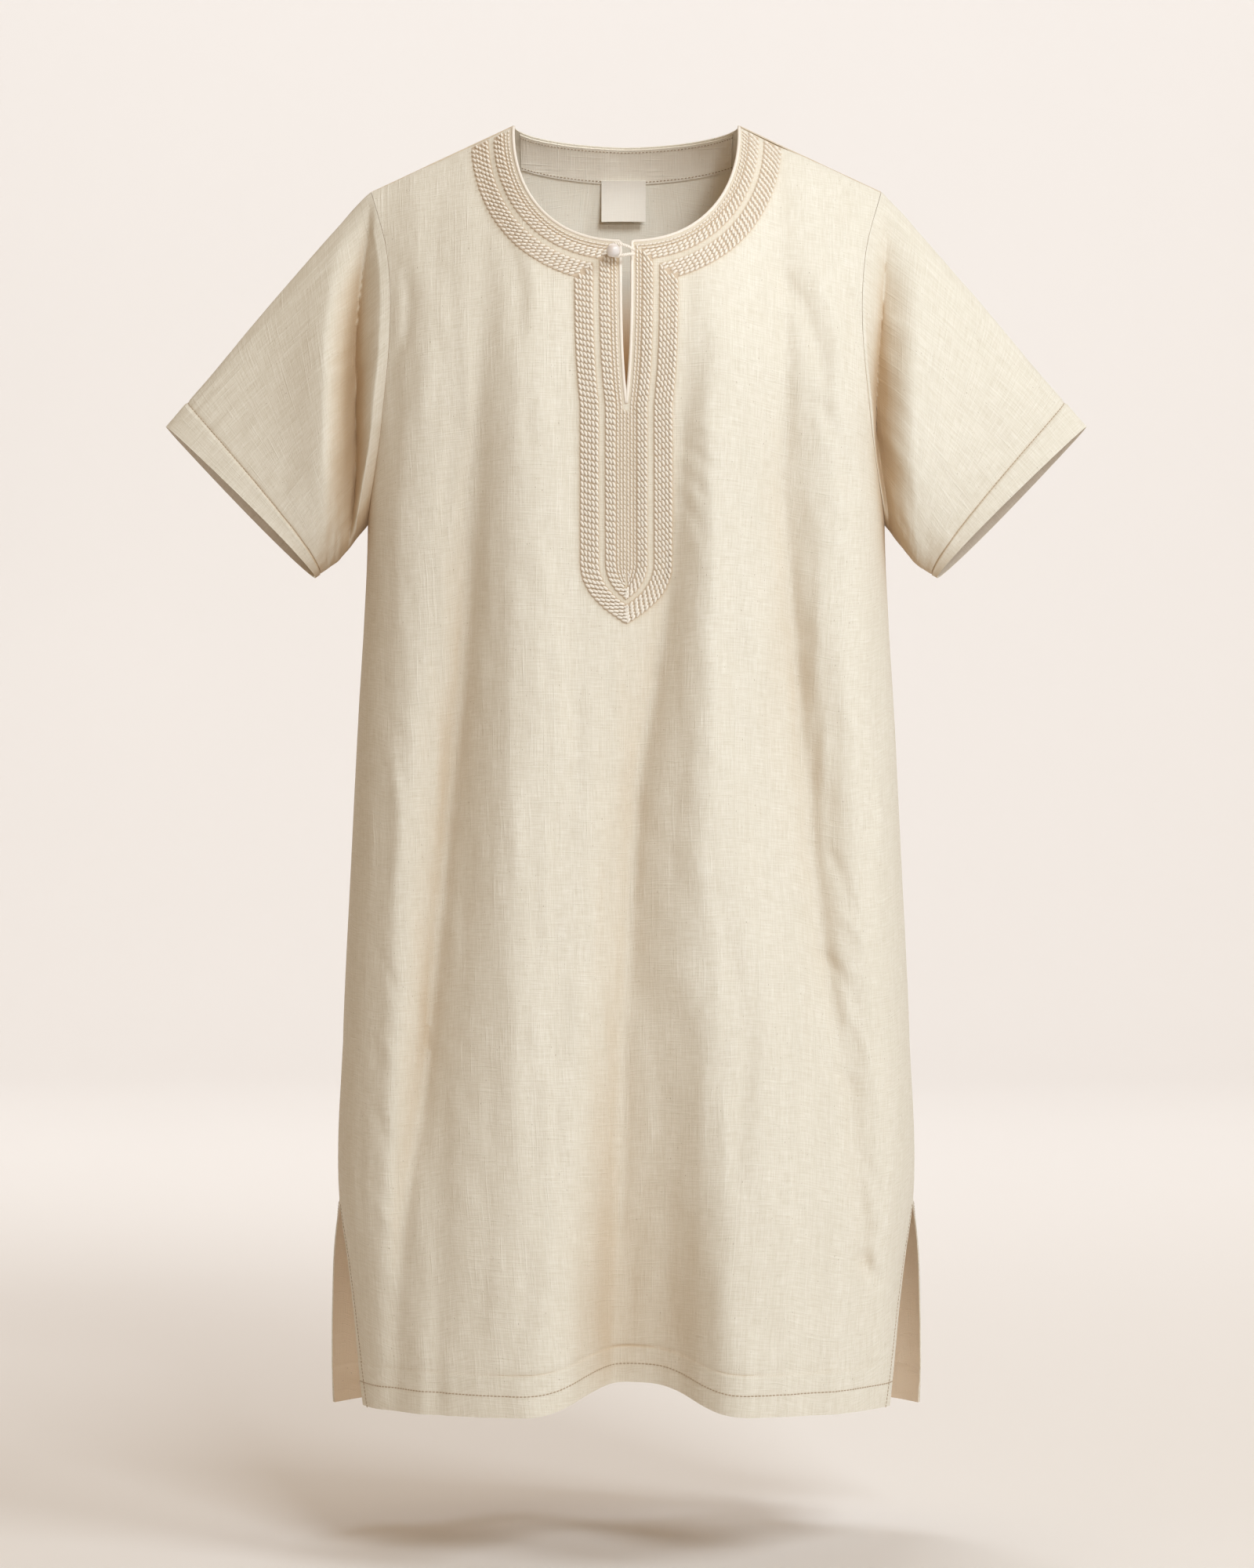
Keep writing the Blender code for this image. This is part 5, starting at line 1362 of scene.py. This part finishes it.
def add_backdrop():
    turn = np.linspace(0, pi / 2, 25)[1:]
    profile = [(FLOOR_FRONT, FLOOR_Z), (CURVE_START, FLOOR_Z)]
    profile += [(CURVE_START + CURVE_RADIUS * np.sin(a), FLOOR_Z + CURVE_RADIUS * (1.0 - np.cos(a)))
                for a in turn]
    profile += [(CURVE_START + CURVE_RADIUS, WALL_TOP)]
    points = [(x, y, z) for y, z in profile for x in (-STUDIO_HALF, STUDIO_HALF)]
    faces = [(2 * k, 2 * k + 1, 2 * k + 3, 2 * k + 2) for k in range(len(profile) - 1)]
    mesh = bpy.data.meshes.new("backdrop")
    mesh.from_pydata(points, [], faces)
    mesh.materials.append(plaster("studio_paper", (0.88, 0.87, 0.87)))
    mesh.shade_smooth()
    return linked("backdrop", mesh)


add_backdrop()


KEY_COLOUR, WALL_COLOUR = (0.95, 1.01, 1.04), (0.94, 1.0, 1.06)


def add_light(name, kind, place, aim, power, colour):
    light = bpy.data.lights.new(name, kind)
    light.energy = power
    light.color = colour
    made = linked(name, light)
    made.location = place
    made.rotation_euler = (Vector(aim) - Vector(place)).to_track_quat("-Z", "Y").to_euler()
    return light


def add_area_light(name, place, aim, size, power, colour):
    light = add_light(name, "AREA", place, aim, power, colour)
    light.shape = "SQUARE"
    light.size = size


CENTRE = (0.0, 0.0, -0.5)
add_area_light("key", (1.25, -3.43, 1.78), CENTRE, 1.3, 82.0, KEY_COLOUR)
add_area_light("key_right", (2.81, -1.90, 2.15), CENTRE, 1.3, 49.0, KEY_COLOUR)
add_area_light("side", (4.1, -0.75, 1.2), CENTRE, 1.2, 8.0, KEY_COLOUR)
add_area_light("wall_left", (-3.6, 2.0, 3.4), (-1.2, 8.0, 2.6), 2.0, 176.0, WALL_COLOUR)
add_area_light("wall_right", (3.6, 2.0, 3.4), (1.2, 8.0, 2.6), 2.0, 180.0, WALL_COLOUR)
add_area_light("floor", (0.0, 1.2, 3.4), (0.0, 1.0, FLOOR_Z), 1.6, 26.0, WALL_COLOUR)
add_area_light("behind", (-2.0, 3.0, 3.8), CENTRE, 1.6, 34.0, (1.0, 1.0, 1.0))

NECK_CENTRE = (0.0, 0.05, -0.03)
neck_light = add_light("neck", "SPOT", (0.55, -2.7, 0.15), NECK_CENTRE, 60.0, (1.0, 0.98, 0.95))
neck_light.spot_size, neck_light.spot_blend = radians(7), 1.0
neck_light.shadow_soft_size = 0.15

WARM_FILL, FILL_STRENGTH = (1.0, 0.61, 0.23, 1.0), 0.30
PALE_AIR = (0.86, 0.81, 0.76, 1.0)


def add_air():
    """A warm fill light from all round; looked at directly, it is as pale as the studio paper."""
    world = bpy.data.worlds.new("studio_air")
    world.use_nodes = True
    tree = world.node_tree
    fill = tree.nodes["Background"]
    fill.inputs["Color"].default_value = WARM_FILL
    fill.inputs["Strength"].default_value = FILL_STRENGTH
    pale = tree.nodes.new("ShaderNodeBackground")
    pale.inputs["Color"].default_value = PALE_AIR
    seen = tree.nodes.new("ShaderNodeLightPath")
    either = tree.nodes.new("ShaderNodeMixShader")
    tree.links.new(seen.outputs["Is Camera Ray"], either.inputs[0])
    tree.links.new(fill.outputs[0], either.inputs[1])
    tree.links.new(pale.outputs[0], either.inputs[2])
    tree.links.new(either.outputs[0], tree.nodes["World Output"].inputs["Surface"])
    bpy.context.scene.world = world


add_air()

camera_data = bpy.data.cameras.new("camera")
camera_data.lens = 90.0
camera_data.sensor_width = 36.0
camera_data.clip_end = 50.0
camera = bpy.data.objects.new("camera", camera_data)
camera.location = (0.0006, -3.2, -0.5104)
camera.rotation_euler = (pi / 2, 0.0, 0.0)
bpy.context.scene.collection.objects.link(camera)
bpy.context.scene.camera = camera
bpy.context.scene.view_settings.view_transform = "Standard"
bpy.context.scene.view_settings.look = "None"
